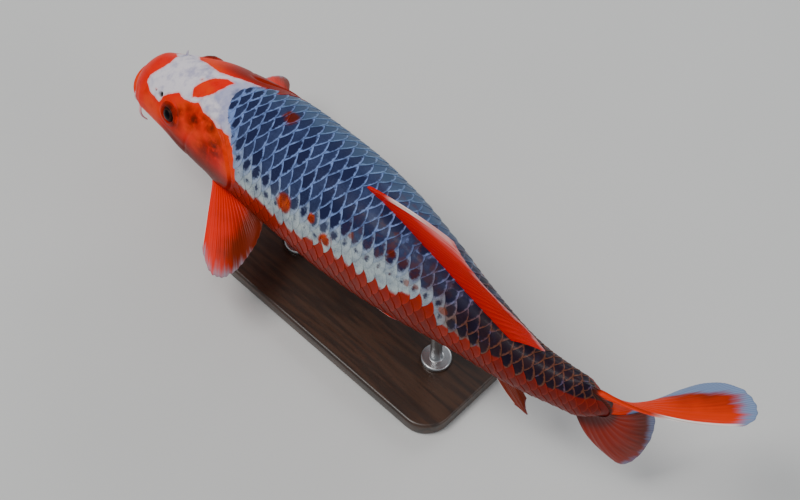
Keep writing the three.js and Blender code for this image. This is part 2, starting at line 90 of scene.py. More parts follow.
# The coat of scales.
COAT_DEPTH = 0.9                 # the skin lies this far inside the scales' outer faces
HEAD_DEPTH = 0.45                # the bare skin of the head lies a little inside too
SCALE_THICK = 0.4
SCALE_SLOPE = 0.085              # rise of a scale towards its free edge
SCALE_CURL = 0.15                # its sides lie this much lower than its middle
SCALE_LENGTH = 1.3               # in pitches, free edge to buried edge
ROWS_FRONT = 7                   # rows between the side line and the back, before the dorsal fin
ROWS_REAR = 4                    # the same on the tail stalk
DORSAL_FROM, DORSAL_TO = 241, 405
SCALES_FROM, SCALES_TO = 96, 491

PLAIN_EYE_ALONG, PLAIN_EYE_ANGLE = 49, 26    # where the plain model has them
EYE_ALONG, EYE_ANGLE = 50, 23
NOSTRIL_ALONG, NOSTRIL_ANGLE = 36, 44
LID_OPENING = 6.1                # radius of the opening between the lids


# ---------------------------------------------------------------- small helpers


def ease(low, high, value):
    t = np.clip((value - low) / (high - low), 0, 1)
    return t * t * (3 - 2 * t)


def lerp(low, high, t):
    return low + (high - low) * t


def soft_power(value, power):
    return np.sign(value) * np.abs(value) ** power


def hill(distance, width):
    """1 at no distance, falling smoothly to 0 over about twice the width."""
    return np.exp(-(distance / width) ** 2)


def span(value, low, high, low_width, high_width):
    """1 between low and high, easing down to 0 over the given width outside each."""
    return ease(low - low_width, low, value) * (1 - ease(high, high + high_width, value))


def unit(vectors):
    return vectors / np.maximum(np.linalg.norm(vectors, axis=-1, keepdims=True), 1e-9)


def section_curve(column):
    """A smooth curve through one column of the sections, which never overshoots them."""
    at, value = SECTIONS[:, 0], SECTIONS[:, column]
    step = np.diff(at)
    slope = np.diff(value) / step
    with np.errstate(divide="ignore", invalid="ignore"):
        weighted = ((2 * step[1:] + step[:-1]) / slope[:-1]
                    + (step[1:] + 2 * step[:-1]) / slope[1:])
        inner = np.where(slope[:-1] * slope[1:] <= 0, 0, 3 * (step[:-1] + step[1:]) / weighted)
    tangent = np.concatenate([slope[:1], inner, slope[-1:]])

    def curve(along):
        along = np.asarray(along, float)
        i = np.clip(np.searchsorted(at, along) - 1, 0, len(at) - 2)
        t = np.clip((along - at[i]) / step[i], 0, 1)
        lead = t * (1 - t) ** 2 * tangent[i] - t * t * (1 - t) * tangent[i + 1]
        return lerp(value[i], value[i + 1], ease(0, 1, t)) + lead * step[i]

    return curve


half_width, half_height, lift = (section_curve(column) for column in (1, 2, 3))


def heading(along):
    """The body line's direction at a station, in radians from the frame's x axis."""
    head = HEAD_TURN * (1 - ease(HEAD_TURN_FROM, HEAD_TURN_TO, along))
    return np.radians(head + STALK_TURN * ease(STALK_TURN_FROM, STALK_TURN_TO, along))


LINE_AT = np.arange(0, 701.0)
LINE_X = np.concatenate([[0], np.cumsum(np.cos(heading(LINE_AT[:-1] + 0.5)))])
LINE_Y = np.concatenate([[0], np.cumsum(np.sin(heading(LINE_AT[:-1] + 0.5)))])


def place(along, side, height):
    """The place (along, side, height) in the model's own frame; ahead of the snout the line is straight."""
    turn = heading(along)
    ahead = np.minimum(along, 0)
    x = np.interp(along, LINE_AT, LINE_X) + ahead * np.cos(turn) - np.interp(BALANCE_ALONG, LINE_AT, LINE_X)
    y = np.interp(along, LINE_AT, LINE_Y) + ahead * np.sin(turn) - np.interp(BALANCE_ALONG, LINE_AT, LINE_Y)
    parts = np.broadcast_arrays(x - side * np.sin(turn), y + side * np.cos(turn), LINE_HEIGHT + height)
    return np.stack(parts, -1)


def body_point(along, round_):
    """The outer form of the body, before its relief."""
    inset = np.clip(1 - along / SNOUT_ROUNDING, 0, 1)
    nose = np.sqrt(1 - inset * inset)
    turn = np.radians(round_)
    across = soft_power(np.cos(turn), SECTION_FULLNESS)
    upward = soft_power(np.sin(turn), SECTION_FULLNESS)
    cheek = 1 - CHEEK_FULLNESS * upward * (1 - ease(90, 150, along))
    return place(along, half_width(along) * nose * across * cheek,
                 lift(along) + half_height(along) * nose * upward)


def body_outward(along, round_):
    """The direction straight out of the body's outer form."""
    ahead = np.maximum(along - 0.5, 0.02)
    lengthways = body_point(along + 0.5, round_) - body_point(ahead, round_)
    around = body_point(along, round_ + 1) - body_point(along, round_ - 1)
    return unit(-np.cross(lengthways, around))


def along_bezier(points, t):
    """Places on one Bezier curve of any degree, at any shares of it."""
    layer = [np.asarray(point, float) * np.ones((len(t), 1)) for point in points]
    while len(layer) > 1:
        layer = [lerp(a, b, t[:, None]) for a, b in zip(layer, layer[1:])]
    return layer[0]


def bezier(points, count):
    return along_bezier(points, np.linspace(0, 1, count))


def signed_distance(points, outline):
    """Distance to a closed outline, above 0 inside it."""
    start, end = outline, np.roll(outline, -1, axis=0)
    edge = end - start
    offset = points[:, None, :] - start[None]
    t = np.clip((offset * edge).sum(-1) / np.maximum((edge * edge).sum(-1), 1e-9), 0, 1)
    distance = np.linalg.norm(offset - t[..., None] * edge, axis=-1).min(1)
    rises = (start[:, 1] <= points[:, 1:2]) != (end[:, 1] <= points[:, 1:2])
    with np.errstate(divide="ignore", invalid="ignore"):
        crossing = start[:, 0] + (points[:, 1:2] - start[:, 1]) * edge[:, 0] / edge[:, 1]
    inside = (rises & (points[:, :1] < crossing)).sum(1) % 2 == 1
    return np.where(inside, distance, -distance)


def distance_to_line(points, line):
    """Nearest distance from each point to a line of points, and how far along the line (0 to 1)."""
    start, edge = line[:-1], np.diff(line, axis=0)
    offset = points[:, None, :] - start[None]
    t = np.clip((offset * edge).sum(-1) / (edge * edge).sum(-1), 0, 1)
    distance = np.linalg.norm(offset - t[..., None] * edge, axis=-1)
    nearest = distance.argmin(1)
    rows = np.arange(len(points))
    return distance[rows, nearest], (nearest + t[rows, nearest]) / len(edge)


# ---------------------------------------------------------------- where the head ends

GILL_ALONG = 105                 # the gill covers lie in the direction of this station
GILL_ORIGIN = place(GILL_ALONG, 0, 0)
GILL_TURN = float(heading(GILL_ALONG))

HEAD_EDGE = np.concatenate([
    [(86, 90), (92, 52), (97, 47.5), (105, 45), (113, 43), (119, 42)],
    bezier([(119, 42), (130, 34), (137, 21), (136.5, 6)], 12)[1:],
    bezier([(136.5, 6), (136, -12), (125, -30), (106, -40)], 14)[1:],
    [(92, -54), (88, -90)],
])
GILL_COVER = np.concatenate([
    bezier([(90, 33), (101, 39), (114, 37), (121, 31)], 12),
    bezier([(121, 31), (131, 23), (134, 13), (133.5, 5)], 12)[1:],
    bezier([(133.5, 5), (133, -12), (121, -28), (103, -36)], 14)[1:],
    bezier([(103, -36), (94, -38), (86, -36), (81, -30)], 10)[1:],
    bezier([(81, -30), (76, -14), (78, 16), (90, 33)], 14)[1:-1],
])


def side_view(points):
    """(along, height) of points as seen square to the gill covers."""
    offset = points - GILL_ORIGIN
    forward = offset[..., 0] * math.cos(GILL_TURN) + offset[..., 1] * math.sin(GILL_TURN)
    return np.stack([GILL_ALONG + forward, offset[..., 2]], -1)


def behind_head(points):
    """How far points lie behind the rear edge of the head, lengthways."""
    view = side_view(points)
    return view[..., 0] - np.interp(view[..., 1], HEAD_EDGE[::-1, 1], HEAD_EDGE[::-1, 0])


# ---------------------------------------------------------------- lips, barbels, eyes, nostrils

LIP_CORNER = (13, 20.5)
LIP_CURVES = {                   # front, height, height at the corners, radius
    "upper": (-5.2, -10.6, -14, 3.2),
    "lower": (-1.6, -16.8, -15.8, 2.9),
}
MOUTH_LINE = (-3.4, -13.6, -14.9)
BARBELS = {                      # root, bend, tip, thickness at the root and at the tip
    "long": ((13, 19, -14), (15, 33, -18), (20, 25, -32), 1.45, 0.65),
    "short": ((8, 15, -5), (6, 25, -6), (10, 22, -16), 0.95, 0.42),
}
SIDES = {"left": -1, "right": 1}


def mouth_curve(front, height, corner, count=40):
    along, side = LIP_CORNER
    bends = [(along, -side, corner), (front, -side * 0.82, height),
             (front, side * 0.82, height), (along, side, corner)]
    return bezier([place(*bend) for bend in bends], count)


def lip_radius(t, radius):
    return radius * (0.45 + 0.55 * np.sqrt(np.sin(np.pi * np.clip(t, 0, 1))))


def barbel_curve(kind, sign, count):
    root, bend, tip = BARBELS[kind][:3]
    return bezier([place(along, side * sign, height) for along, side, height in (root, bend, tip)], count)


def round_of(sign, above):
    """The angle round the body of a place this many degrees above the side line."""
    return above if sign > 0 else 180 - above


EYES = {}
for side_name, side_sign in SIDES.items():
    low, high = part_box("eye_" + side_name)
    eye_round = round_of(side_sign, EYE_ANGLE)
    plain_round = round_of(side_sign, PLAIN_EYE_ANGLE)
    moved = body_point(EYE_ALONG, eye_round) - body_point(PLAIN_EYE_ALONG, plain_round)
    EYES[side_name] = (
        np.array((low + high) / 2) / METRES + moved,
        body_outward(EYE_ALONG, eye_round),
        (high - low)[2] / 2 / METRES,
    )


# ---------------------------------------------------------------- the relief of the skin


def gill_relief(points):
    """The gill cover's free rear edge, the slot behind it and the groove before it."""
    view = side_view(points)
    inside = signed_distance(view, GILL_COVER)
    free = ease(88, 104, view[:, 0])
    plate = ease(-0.3, 0.9, inside) * (1.25 - 0.95 * ease(1, 16, inside))
    slot = -1.1 * hill(inside + 1.1, 0.95)
    flap = 0.35 * hill(inside + 3.4, 1.6)
    groove = -0.55 * hill(inside, 1.6)
    swell = 0.5 * ease(3, 14, inside)
    near = (np.abs(points[:, 2] - LINE_HEIGHT) < 70) & (view[:, 0] < 150)
    return near * (free * (plate + slot + flap) + (1 - free) * (groove + swell * 0.6))


def face_relief(along, round_):
    """Folds of the cheek, snout and throat."""
    down = np.abs(round_ - 90)
    cheek_bulge = 0.7 * hill(along - 64, 13) * hill(down - 100, 17)
    under_eye = -0.5 * hill(down - (92 + 0.12 * (along - 49)), 4.5) * span(along, 44, 74, 8, 14)
    jaw = -0.6 * hill(down - (128 - 0.08 * (along - 60)), 3.2) * span(along, 34, 84, 12, 16)
    throat = -0.7 * hill(down - 158, 3.0) * span(along, 40, 96, 22, 16)
    snout_fold = -0.55 * hill(along - (10 + 0.05 * (down - 60)), 1.7) * span(down, 66, 104, 16, 16)
    brow = 0.55 * hill(along - 52, 15) * hill(down - 46, 8)
    crown = -0.45 * hill(down, 9) * span(along, 44, 84, 18, 20)
    return cheek_bulge + under_eye + jaw + throat + snout_fold + brow + crown


def eye_relief(points):
    """The socket under each eyelid and the soft groove outside it."""
    total = np.zeros(len(points))
    for centre, outward, _ in EYES.values():
        offset = points - centre
        height = offset @ outward
        radius = np.linalg.norm(offset - height[:, None] * outward, axis=1)
        near = height > -12
        socket = -3.4 * (1 - ease(LID_OPENING + 0.5, LID_OPENING + 3, radius))
        groove = -0.5 * hill(radius - 11.8, 1.7)
        total += near * (socket + groove)
    return total


def nostril_depth(points):
    """How deep the nostrils are at each point, from 0 to 1, and the height of their rims."""
    depth, rim = np.zeros(len(points)), np.zeros(len(points))
    for sign in SIDES.values():
        for along, angle, radius in ((NOSTRIL_ALONG, NOSTRIL_ANGLE, 2.3), (NOSTRIL_ALONG - 6.4, 46, 0.8)):
            centre = body_point(along, round_of(sign, angle))
            distance = np.linalg.norm(points - centre, axis=1)
            depth = np.maximum(depth, 1 - ease(radius * 0.7, radius * 1.2, distance))
            rim = np.maximum(rim, hill(distance - radius * 1.5, 0.7))
    return depth, rim


def add_mouth(points, outward, rise):
    """The rise of the skin where it swells into the lips and the barbels' roots."""
    lips = {name: mouth_curve(*shape[:3]) for name, shape in LIP_CURVES.items()}
    parting = mouth_curve(*MOUTH_LINE)
    roots = [barbel_curve(kind, sign, 9)[:3] for kind in BARBELS for sign in SIDES.values()]
    reaches = np.linspace(7, -2, 46)
    field = np.empty((len(reaches), len(points)))
    for i, reach in enumerate(reaches):
        at = points + outward * reach
        flesh = reach - rise
        lip_gap = np.full(len(points), 99.0)
        for name, curve in lips.items():
            distance, t = distance_to_line(at, curve)
            lip_gap = np.minimum(lip_gap, distance - lip_radius(t, LIP_CURVES[name][3]))
        solid = smooth_least(flesh, lip_gap, 1.1)
        for root in roots:
            distance, t = distance_to_line(at, root)
            solid = smooth_least(solid, distance - (1.5 - 0.9 * t), 1.2)
        field[i] = solid
    inside = field < 0
    first = inside.argmax(0)
    columns = np.arange(len(points))
    before = np.maximum(first - 1, 0)
    outer, inner = field[before, columns], field[first, columns]
    share = np.clip(outer / np.maximum(outer - inner, 1e-6), 0, 1)
    swollen = lerp(reaches[before], reaches[first], share)
    swollen = np.where(inside.any(0), swollen, rise)
    gap, t = distance_to_line(points + outward * swollen[:, None], parting)
    slit = 1.5 * hill(gap, 0.75) + 0.5 * hill(gap, 1.6)
    return np.maximum(swollen, rise) - slit * ease(0, 0.03, np.minimum(t, 1 - t)), slit


def smooth_least(a, b, blend):
    """The lesser of two distances, rounded where they are nearly equal."""
    h = np.clip(0.5 + 0.5 * (b - a) / blend, 0, 1)
    return lerp(b, a, h) - blend * h * (1 - h)


FIN_BASES = (                    # along, round, height, reach of the fleshy bases of paired fins
    (110, 221, 1.6, 9), (110, -41, 1.6, 9), (243, 249, 1.0, 7), (243, 291, 1.0, 7),
)


def base_relief(points):
    """The swelling of the flesh at the roots of the paired fins."""
    total = np.zeros(len(points))
    for along, angle, height, reach in FIN_BASES:
        centre = body_point(along, angle)
        total += height * hill(np.linalg.norm(points - centre, axis=1), reach)
    return total


def stalk_taper(along, round_):
    """How far the stalk's sides fall in where its flesh runs out into the tail fin."""
    across = np.abs(soft_power(np.cos(np.radians(round_)), SECTION_FULLNESS))
    height = half_height(along) * soft_power(np.sin(np.radians(round_)), SECTION_FULLNESS)
    short_of = along - fin_line(height)
    return STALK_THINNED * ease(-26, 3, short_of) * half_width(along) * across


def fin_line(height):
    """Where the tail fin's rays leave the flesh, furthest back at the side line."""
    return RAYS_FROM - RAYS_SOONER * (height / STALK_HALF_HEIGHT) ** 2


# ---------------------------------------------------------------- meshes

ROOM = np.array(CAD_BOX) / METRES + [[0.02], [-0.02]]    # every piece keeps inside the plain model's box
ROOM[0, 2] = 0


def make_piece(name, points, faces, finish, channels=None, sharp=None, room=ROOM):
    """A smooth-shaded mesh object from points in millimetres, with its named channels."""
    mesh = bpy.data.meshes.new(name)
    mesh.from_pydata((np.clip(points, *room) * METRES).tolist(), [], faces)
    mesh.polygons.foreach_set("use_smooth", np.ones(len(mesh.polygons), bool))
    for channel, values in (channels or {}).items():
        layer = mesh.attributes.new(channel, "FLOAT", "POINT")
        layer.data.foreach_set("value", np.ascontiguousarray(values, np.float32))
    if sharp:
        mesh.set_sharp_from_angle(angle=math.radians(sharp))
    mesh.materials.append(finish)
    mesh.update()
    piece = bpy.data.objects.new(name, mesh)
    bpy.context.scene.collection.objects.link(piece)
    return piece


def grid_faces(rows, columns, closed=False, start=0):
    """Quads between neighbouring rows of points; closed joins the last column to the first."""
    gaps = columns if closed else columns - 1
    row, column = np.meshgrid(np.arange(rows - 1), np.arange(gaps), indexing="ij")
    nearer = start + row * columns + column
    across = start + row * columns + (column + 1) % columns
    return np.stack([nearer, nearer + columns, across + columns, across], -1).reshape(-1, 4)


def capped_faces(rows, sides):
    """Faces of a closed tube of rings, with a flat face at each end."""
    last = (rows - 1) * sides
    ends = [list(range(sides))[::-1], list(range(last, last + sides))]
    return grid_faces(rows, sides, True).tolist() + ends


def rim_of(rows, columns):
    """The points round the edge of a grid, in order."""
    top = np.arange(columns - 1)
    right = np.arange(rows - 1) * columns + columns - 1
    bottom = (rows - 1) * columns + np.arange(columns - 1, 0, -1)
    left = np.arange(rows - 1, 0, -1) * columns
    return np.concatenate([top, right, bottom, left])


def two_sided_faces(rows, columns):
    """Faces of a sheet with two sides and a rim, front points first."""
    total = rows * columns
    front, rim = grid_faces(rows, columns), rim_of(rows, columns)
    after = np.roll(rim, -1)
    return np.concatenate([
        front, front[:, ::-1] + total, np.stack([after, rim, rim + total, after + total], -1)])


def turned_out(points, faces):
    """The same faces, all turned so that they enclose a solid from outside."""
    volume = 0.0
    for face in faces:
        a = points[face[0]]
        for b, c in zip(face[1:], face[2:]):
            volume += a @ np.cross(points[b], points[c])
    return [face[::-1] for face in faces] if volume < 0 else faces


def circle(sides):
    """Equal steps of angle round a whole turn."""
    return np.arange(sides) / sides * 2 * np.pi


def spokes(axis, sides):
    """Directions all round an axis and square to it."""
    first = unit(np.cross(axis, [0, 0, 1.0]))
    turn = circle(sides)[:, None]
    return np.cos(turn) * first + np.sin(turn) * np.cross(axis, first)


def finish_piece(piece, slot, *nodes):
    """Tells the frame what the piece rides on and hides the plain nodes it stands for; the slot is not
    used.
    """
    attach(piece, "root")
    if nodes:
        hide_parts(*nodes)
    return piece


# ---------------------------------------------------------------- the markings

MM_PER_DEGREE = 0.8              # length of one degree round the body, for distances to borders
NO_BELLY, NO_SPOT = -30, -99.0   # distances in mm that leave no trace of a marking

# Corners of the borders, as (along, round). The throat stays pale behind the red chin.
RED_HEAD_LEFT = [
    (26, 56), (26, 80), (22, 95), (16, 114), (17, 128), (24, 142), (32, 147), (37, 150), (39, 137),
    (45, 128), (52, 121), (60, 125), (68, 124), (76, 120), (85, 127), (97, 129), (106, 132), (120, 132),
    (130, 141), (141, 159), (146, 170), (146, 190), (134, 215), (114, 250), (96, 258), (52, 262),
    (38, 275), (-20, 275), (-20, 56),
]
RED_HEAD_RIGHT = [
    (26, 62), (24, 50), (20, 42), (26, 37), (36, 32), (41, 38), (46, 56), (56, 64), (64, 70), (72, 74),
    (84, 72), (94, 68), (104, 65), (115, 62), (123, 56), (130, 48), (139, 30), (145, 8), (142, -15),
    (130, -40), (112, -68), (96, -78), (52, -82), (38, -95), (-20, -95), (-20, 62),
]
FOREHEAD_SPOT = [
    (67, 118), (63, 106), (66, 94), (74, 84), (83, 78), (90, 80), (86, 91), (82, 103), (76, 112),
]
SPOTS = (                        # along, round, radius, how brown (tan above 1.1, faint at 2)
    (195, 151, 6.4, 1.5), (223, 145, 3.4, 1.5), (242, 156, 5.2, 1.5), (154, 81, 6.2, 0.95),
    (296, 122, 3.9, 1.05), (260, 135, 2.4, 2), (317, 138, 3.2, 2), (325, 135, 2.6, 2),
    (351, 139, 3.6, 2), (29, 132, 0.5, 0.6), (64, 92, 0.9, 0.8),
)

# Where the red of the belly begins: stations along, and degrees down from the back at each.
BELLY_LEFT = ([146, 175, 196, 218, 268, 289, 308, 326, 344, 349, 369, 390, 405, 419, 436, 458, 492],
              [79, 80, 82, 80, 69, 74, 69, 58, 54, 71, 72, 66, 53, 60, 59, 52, 50])
BELLY_RIGHT = ([146, 200, 268, 300, 330, 350, 380, 430, 492], [84, 86, 75, 78, 64, 72, 70, 60, 50])
BELLY_STARTS = 112

BLUE_NET = [
    (86, 90), (89, 101), (97, 107), (104, 114), (110, 124), (119, 132), (129, 145), (142, 157),
    (174, 160), (236, 153), (301, 140), (330, 138), (346, 140), (352, 152), (360, 170), (530, 170),
    (530, 10), (358, 10), (350, 20), (300, 18), (236, 10), (174, 6), (142, 16), (129, 35), (119, 48),
    (110, 56), (104, 66), (97, 73), (89, 79),
]
CHEEK_SMUDGES = (                # along, round, radius, strength
    (80, 141, 9, 0.95), (100, 136, 7, 0.9), (112, 153, 11, 0.95), (102, 165, 11, 0.8), (59, 160, 9, 0.9),
    (48, 145, 6, 0.5), (90, 134, 6, 0.7), (58, 150, 7, 0.95), (62, 143, 6, 0.7), (70, 133, 6, 0.6),
)


def from_belly(round_):
    """The same angles, counted from -90 at the belly up over the right side."""
    return (round_ + 90) % 360 - 90


def border_distance(along, round_, corners):
    stretch = np.array([1, MM_PER_DEGREE])
    return signed_distance(np.stack([along, round_], -1) * stretch, np.array(corners, float) * stretch)


def spacing(lengthways, degrees):
    return np.hypot(lengthways, degrees * MM_PER_DEGREE)


def spots(along, round_):
    """Distance in mm inside the nearest small spot, and how brown that spot is."""
    inside, brown = np.full(len(along), NO_SPOT), np.zeros(len(along))
    for at, angle, radius, how_brown in SPOTS:
        softness = min(1, 4 / radius)
        here = softness * (radius - spacing(along - at, round_ - angle))
        brown = np.where(here > inside, how_brown, brown)
        inside = np.maximum(inside, here)
    return inside, brown


def markings(along, round_, spotted=True):
    """What the colours depend on at each place.

    red and blue are distances in mm inside those borders. brick is how brown the red is: the
    spots' own brown, and painted shade on the belly and on the sides of the head. smudge is how dark
    the cheek's smudges are, and far how far round towards the fish's right a place lies; the net's
    painted sheen follows far.
    """
    along, round_ = np.ravel(along), from_belly(np.ravel(round_))
    down = np.abs(round_ - 90)
    belly_from = np.where(round_ > 90, np.interp(along, *BELLY_LEFT), np.interp(along, *BELLY_RIGHT))
    belly = np.where(along > BELLY_STARTS, (down - belly_from) * MM_PER_DEGREE, NO_BELLY)
    head = np.maximum(border_distance(along, round_, RED_HEAD_LEFT),
                      border_distance(along, round_, RED_HEAD_RIGHT))
    red = np.maximum.reduce([head, border_distance(along, round_, FOREHEAD_SPOT), belly])
    # Painted shade: the head's red is painted browner on the left cheek from the side line down, and high
    # on the right side of the head.
    left_cheek_shade = 0.9 * ease(66, 102, down) * ease(24, 62, along)
    right_cheek_shade = 0.75 * ease(8, 34, down) * ease(46, 90, along)
    cheek = np.where(round_ > 90, left_cheek_shade, right_cheek_shade)
    # Painted shade: the belly's red turns browner and darker towards the underside, and a little towards
    # the tail.
    brick = np.where(belly > head, 0.6 + 0.22 * ease(0, 24, belly) + 0.04 * ease(330, 440, along), cheek)
    if spotted:
        inside, brown = spots(along, round_)
        brick = np.where(inside > red, brown, brick)
        red = np.maximum(red, inside)
    smudge = np.zeros(len(along))
    for at, angle, radius, strength in CHEEK_SMUDGES:
        smudge = np.maximum(smudge, strength * hill(spacing(along - at, round_ - angle), radius))
    return {
        "red": red, "brick": brick, "blue": border_distance(along, round_, BLUE_NET), "smudge": smudge,
        "along": along, "far": ease(82, 52, round_) * ease(-60, -10, round_),
    }


# ---------------------------------------------------------------- finishes


class Shade:
    """A value that changes over a surface, with arithmetic."""

    def __init__(self, finish, socket):
        self.finish, self.socket = finish, socket

    def _maths(self, operation, first, second=0):
        return self.finish.node("ShaderNodeMath", {"operation": operation}, {0: first, 1: second})

    def __add__(self, other):
        return self._maths("ADD", self, other)

    def __sub__(self, other):
        return self._maths("SUBTRACT", self, other)

    def __rsub__(self, other):
        return self._maths("SUBTRACT", other, self)

    def __mul__(self, other):
        return self._maths("MULTIPLY", self, other)

    def __truediv__(self, other):
        return self._maths("DIVIDE", self, other)

    __radd__, __rmul__ = __add__, __mul__

    def step(self, low, high):
        """Rises smoothly from 0 at low to 1 at high."""
        return self.finish.node("ShaderNodeMapRange", {"interpolation_type": "SMOOTHSTEP"},
                                {"Value": self, "From Min": low, "From Max": high})

    def wave(self, length):
        """A sine from -1 to 1 with this wavelength."""
        return self._maths("SINE", self * (2 * math.pi / length))

    def lesser(self, other):
        return self._maths("MINIMUM", self, other)


class Finish:
    """A material in the making."""

    def __init__(self, name):
        self.material = bpy.data.materials.new(name)
        self.material.use_nodes = True
        self.tree = self.material.node_tree
        self.tree.nodes.clear()

    def node(self, kind, settings, inputs, out=0):
        """Adds one node; settings come first, then the values or links of its sockets."""
        made = self.tree.nodes.new(kind)
        for name, value in settings.items():
            setattr(made, name, value)
        for name, value in inputs.items():
            if isinstance(value, Shade):
                self.tree.links.new(value.socket, made.inputs[name])
            else:
                made.inputs[name].default_value = value
        return Shade(self, made.outputs[out]) if len(made.outputs) else None

    def channel(self, name):
        return self.node("ShaderNodeAttribute", {"attribute_name": name}, {}, "Fac")

    def position(self):
        return self.node("ShaderNodeTexCoord", {}, {}, "Object")

    def noise(self, size, detail=2.0, roughness=0.5, at=None, out="Fac"):
        """Soft random values from 0 to 1, with lumps of this size in mm."""
        return self.node("ShaderNodeTexNoise", {}, {
            "Vector": at or self.position(), "Scale": 1 / (size * METRES), "Detail": detail,
            "Roughness": roughness}, out)

    def blend(self, share, first, second):
        return self.node("ShaderNodeMix", {"data_type": "RGBA"}, {0: share, 6: first, 7: second}, 2)

    def bump(self, height, depth, strength=1.0):
        """A normal from heights between 0 and 1 that stand for this depth in mm."""
        return self.node("ShaderNodeBump", {}, {"Height": height, "Distance": depth * METRES,
                                                "Strength": strength})

    def surface(self, sockets):
        shader = self.node("ShaderNodeBsdfPrincipled", {}, sockets)
        self.node("ShaderNodeOutputMaterial", {}, {"Surface": shader})
        return self.material


def paint(red, green, blue):
    """A colour from its everyday 0 to 255 values."""
    def linear(value):
        value /= 255
        return value / 12.92 if value <= 0.04045 else ((value + 0.055) / 1.055) ** 2.4
    return (linear(red), linear(green), linear(blue), 1)


PORES_PER_METRE = 520
GROWTH_RING = 0.62               # mm from ring to ring on a scale
RAY_JOINT = 1.5                  # mm from joint to joint along a fin ray

ORANGE = paint(242, 22, 0)
ORANGE_WARM = paint(246, 62, 0)
RED_DEEP = paint(196, 6, 0)
BRICK = paint(136, 24, 5)
# Painted shade: the darker red towards the tail.
RED_REAR_SHADE = paint(118, 24, 18)
BROWN = paint(78, 25, 14)
WHITE = paint(236, 228, 236)
LILAC = paint(150, 147, 188)
PINK = paint(246, 150, 146)
BRUISE = paint(88, 42, 40)
BLUE_CORE = paint(30, 36, 72)
BLUE_LINE = paint(128, 154, 214)
# Painted sheen: paler, hazier net colours for the fish's right side.
SHEEN_HAZE_CORE = paint(70, 94, 126)
SHEEN_HAZE_LINE = paint(108, 138, 176)
# REAR_CORE: the net's near-black cores towards the tail, partly painted shade; also the side line's dark
# pores.
REAR_CORE = paint(24, 14, 32)
REAR_LINE = paint(110, 60, 28)
REAR_LILAC = paint(92, 88, 128)
PALE_BAND = paint(192, 203, 202)
BAND_GREY = paint(124, 138, 156)
SMUDGE = paint(84, 20, 2)
TAN = paint(196, 66, 10)
FADED_TAN = paint(138, 70, 42)
# Painted shade: near black for the nostrils, the mouth's parting and the lids' inner edges.
PIT_SHADE = paint(4, 3, 4)
SCALE_EDGE_RED = paint(236, 90, 50)
RAY_ORANGE = paint(255, 100, 10)
RAY_PALE = paint(225, 232, 242)
LEADING_WHITE = paint(255, 246, 240)


class KoiFinish(Finish):
    """What the skin's finish and the scales' finish share: the same markings from the same channels."""

    def __init__(self, name):
        super().__init__(name)
        self.red, self.blue, self.brick = self.channel("red"), self.channel("blue"), self.channel("brick")
        self.along, self.far = self.channel("along"), self.channel("far")
        self.lumps = self.noise(26, 3), self.noise(7, 3), self.noise(1.1, 3)
        # Towards the tail the net turns rust-brown and darker; the darkening is partly painted shade of the
        # tail end.
        self.rear = (self.along + (self.lumps[0] - 0.5) * 130).step(300, 385)

    def band(self):
        """The pale band between the net and the red belly."""
        _, middling, fine = self.lumps
        return self.blend((middling * 0.8 + fine * 0.6 - 0.2).step(0.3, 0.75) * 0.8, PALE_BAND, BAND_GREY)

    def bare(self, band):
        """The white head, and the pale band behind it."""
        broad, middling, _ = self.lumps
        mottle = (middling * 0.7 + broad * 0.5 - 0.1).step(0.42, 0.72)
        return self.blend(self.along.step(105, 150), self.blend(mottle * 0.75, WHITE, LILAC), band)

    def reds(self):
        """Orange through BRICK to BROWN, the tan of some spots, the smudges on the cheeks, and painted
        shade that darkens the red towards the tail.
        """
        broad, middling, fine = self.lumps
        orange = self.blend(broad.step(0.35, 0.65), ORANGE, ORANGE_WARM)
        orange = self.blend(middling.step(0.45, 0.8) * 0.35, orange, RED_DEEP)
        brown = self.blend(self.brick.step(0.75, 1) * (middling * 0.7 + 0.45), BRICK, BROWN)
        reds = self.blend(self.brick.step(0.05, 0.85), orange, brown)
        tan = self.blend((middling * 0.6 + fine * 0.5).step(0.45, 0.7), TAN, BRICK)
        reds = self.blend(self.brick.step(1.1, 1.45), reds, tan)
        reds = self.blend(self.brick.step(1.5, 2), reds, FADED_TAN)
        # Painted shade: the red darkens towards the tail.
        reds = self.blend(self.along.step(330, 450) * 0.75, reds, RED_REAR_SHADE)
        return self.blend(self.channel("smudge") * (middling * 1.4).step(0.3, 0.8), reds, SMUDGE)

    def net(self):
        """The net's pale lines and its dark cores; painted sheen makes them paler and hazier round the
        fish's right, and towards the tail they darken, partly as painted shade.
        """
        broad, middling, _ = self.lumps
        # Painted sheen: the net is paler and hazier round the fish's right.
        core_blue = self.blend(self.far * 0.85, BLUE_CORE, SHEEN_HAZE_CORE)
        line_blue = self.blend(self.far * 0.85, BLUE_LINE, SHEEN_HAZE_LINE)
        behind = self.along.step(190, 310)
        faded = (middling * 0.7 + broad * 0.5 + behind * 0.12).step(0.5, 0.8) * (behind * 0.2 + 0.45)
        line_blue = self.blend(faded, line_blue, core_blue)
        patchy = middling * 0.6 + broad * 0.5
        line_rear = self.blend(patchy.step(0.6, 0.78), REAR_LINE, REAR_LILAC)
        bruised = self.along.step(235, 290) * patchy.step(0.51, 0.66) * 0.75
        core_blue = self.blend(bruised * (1 - self.far * 0.7), core_blue, BRUISE)
        # Partly painted shade: the cores turn near black towards the tail.
        core = self.blend(self.rear, core_blue, REAR_CORE)
        return self.blend(self.rear * 0.95, line_blue, line_rear), core

    def marked(self, red_share, ground, reds):
        """The red markings over the ground; the faint spots let some of it through."""
        return self.blend(red_share * (1 - self.brick.step(1.5, 2) * 0.3), ground, reds)

    def wet_surface(self, colour, roughness, normal):
        return self.surface({
            "Base Color": colour, "Roughness": roughness, "Normal": normal,
            "Specular IOR Level": 0.1, "Coat Weight": 0.035, "Coat Roughness": 0.06,
        })


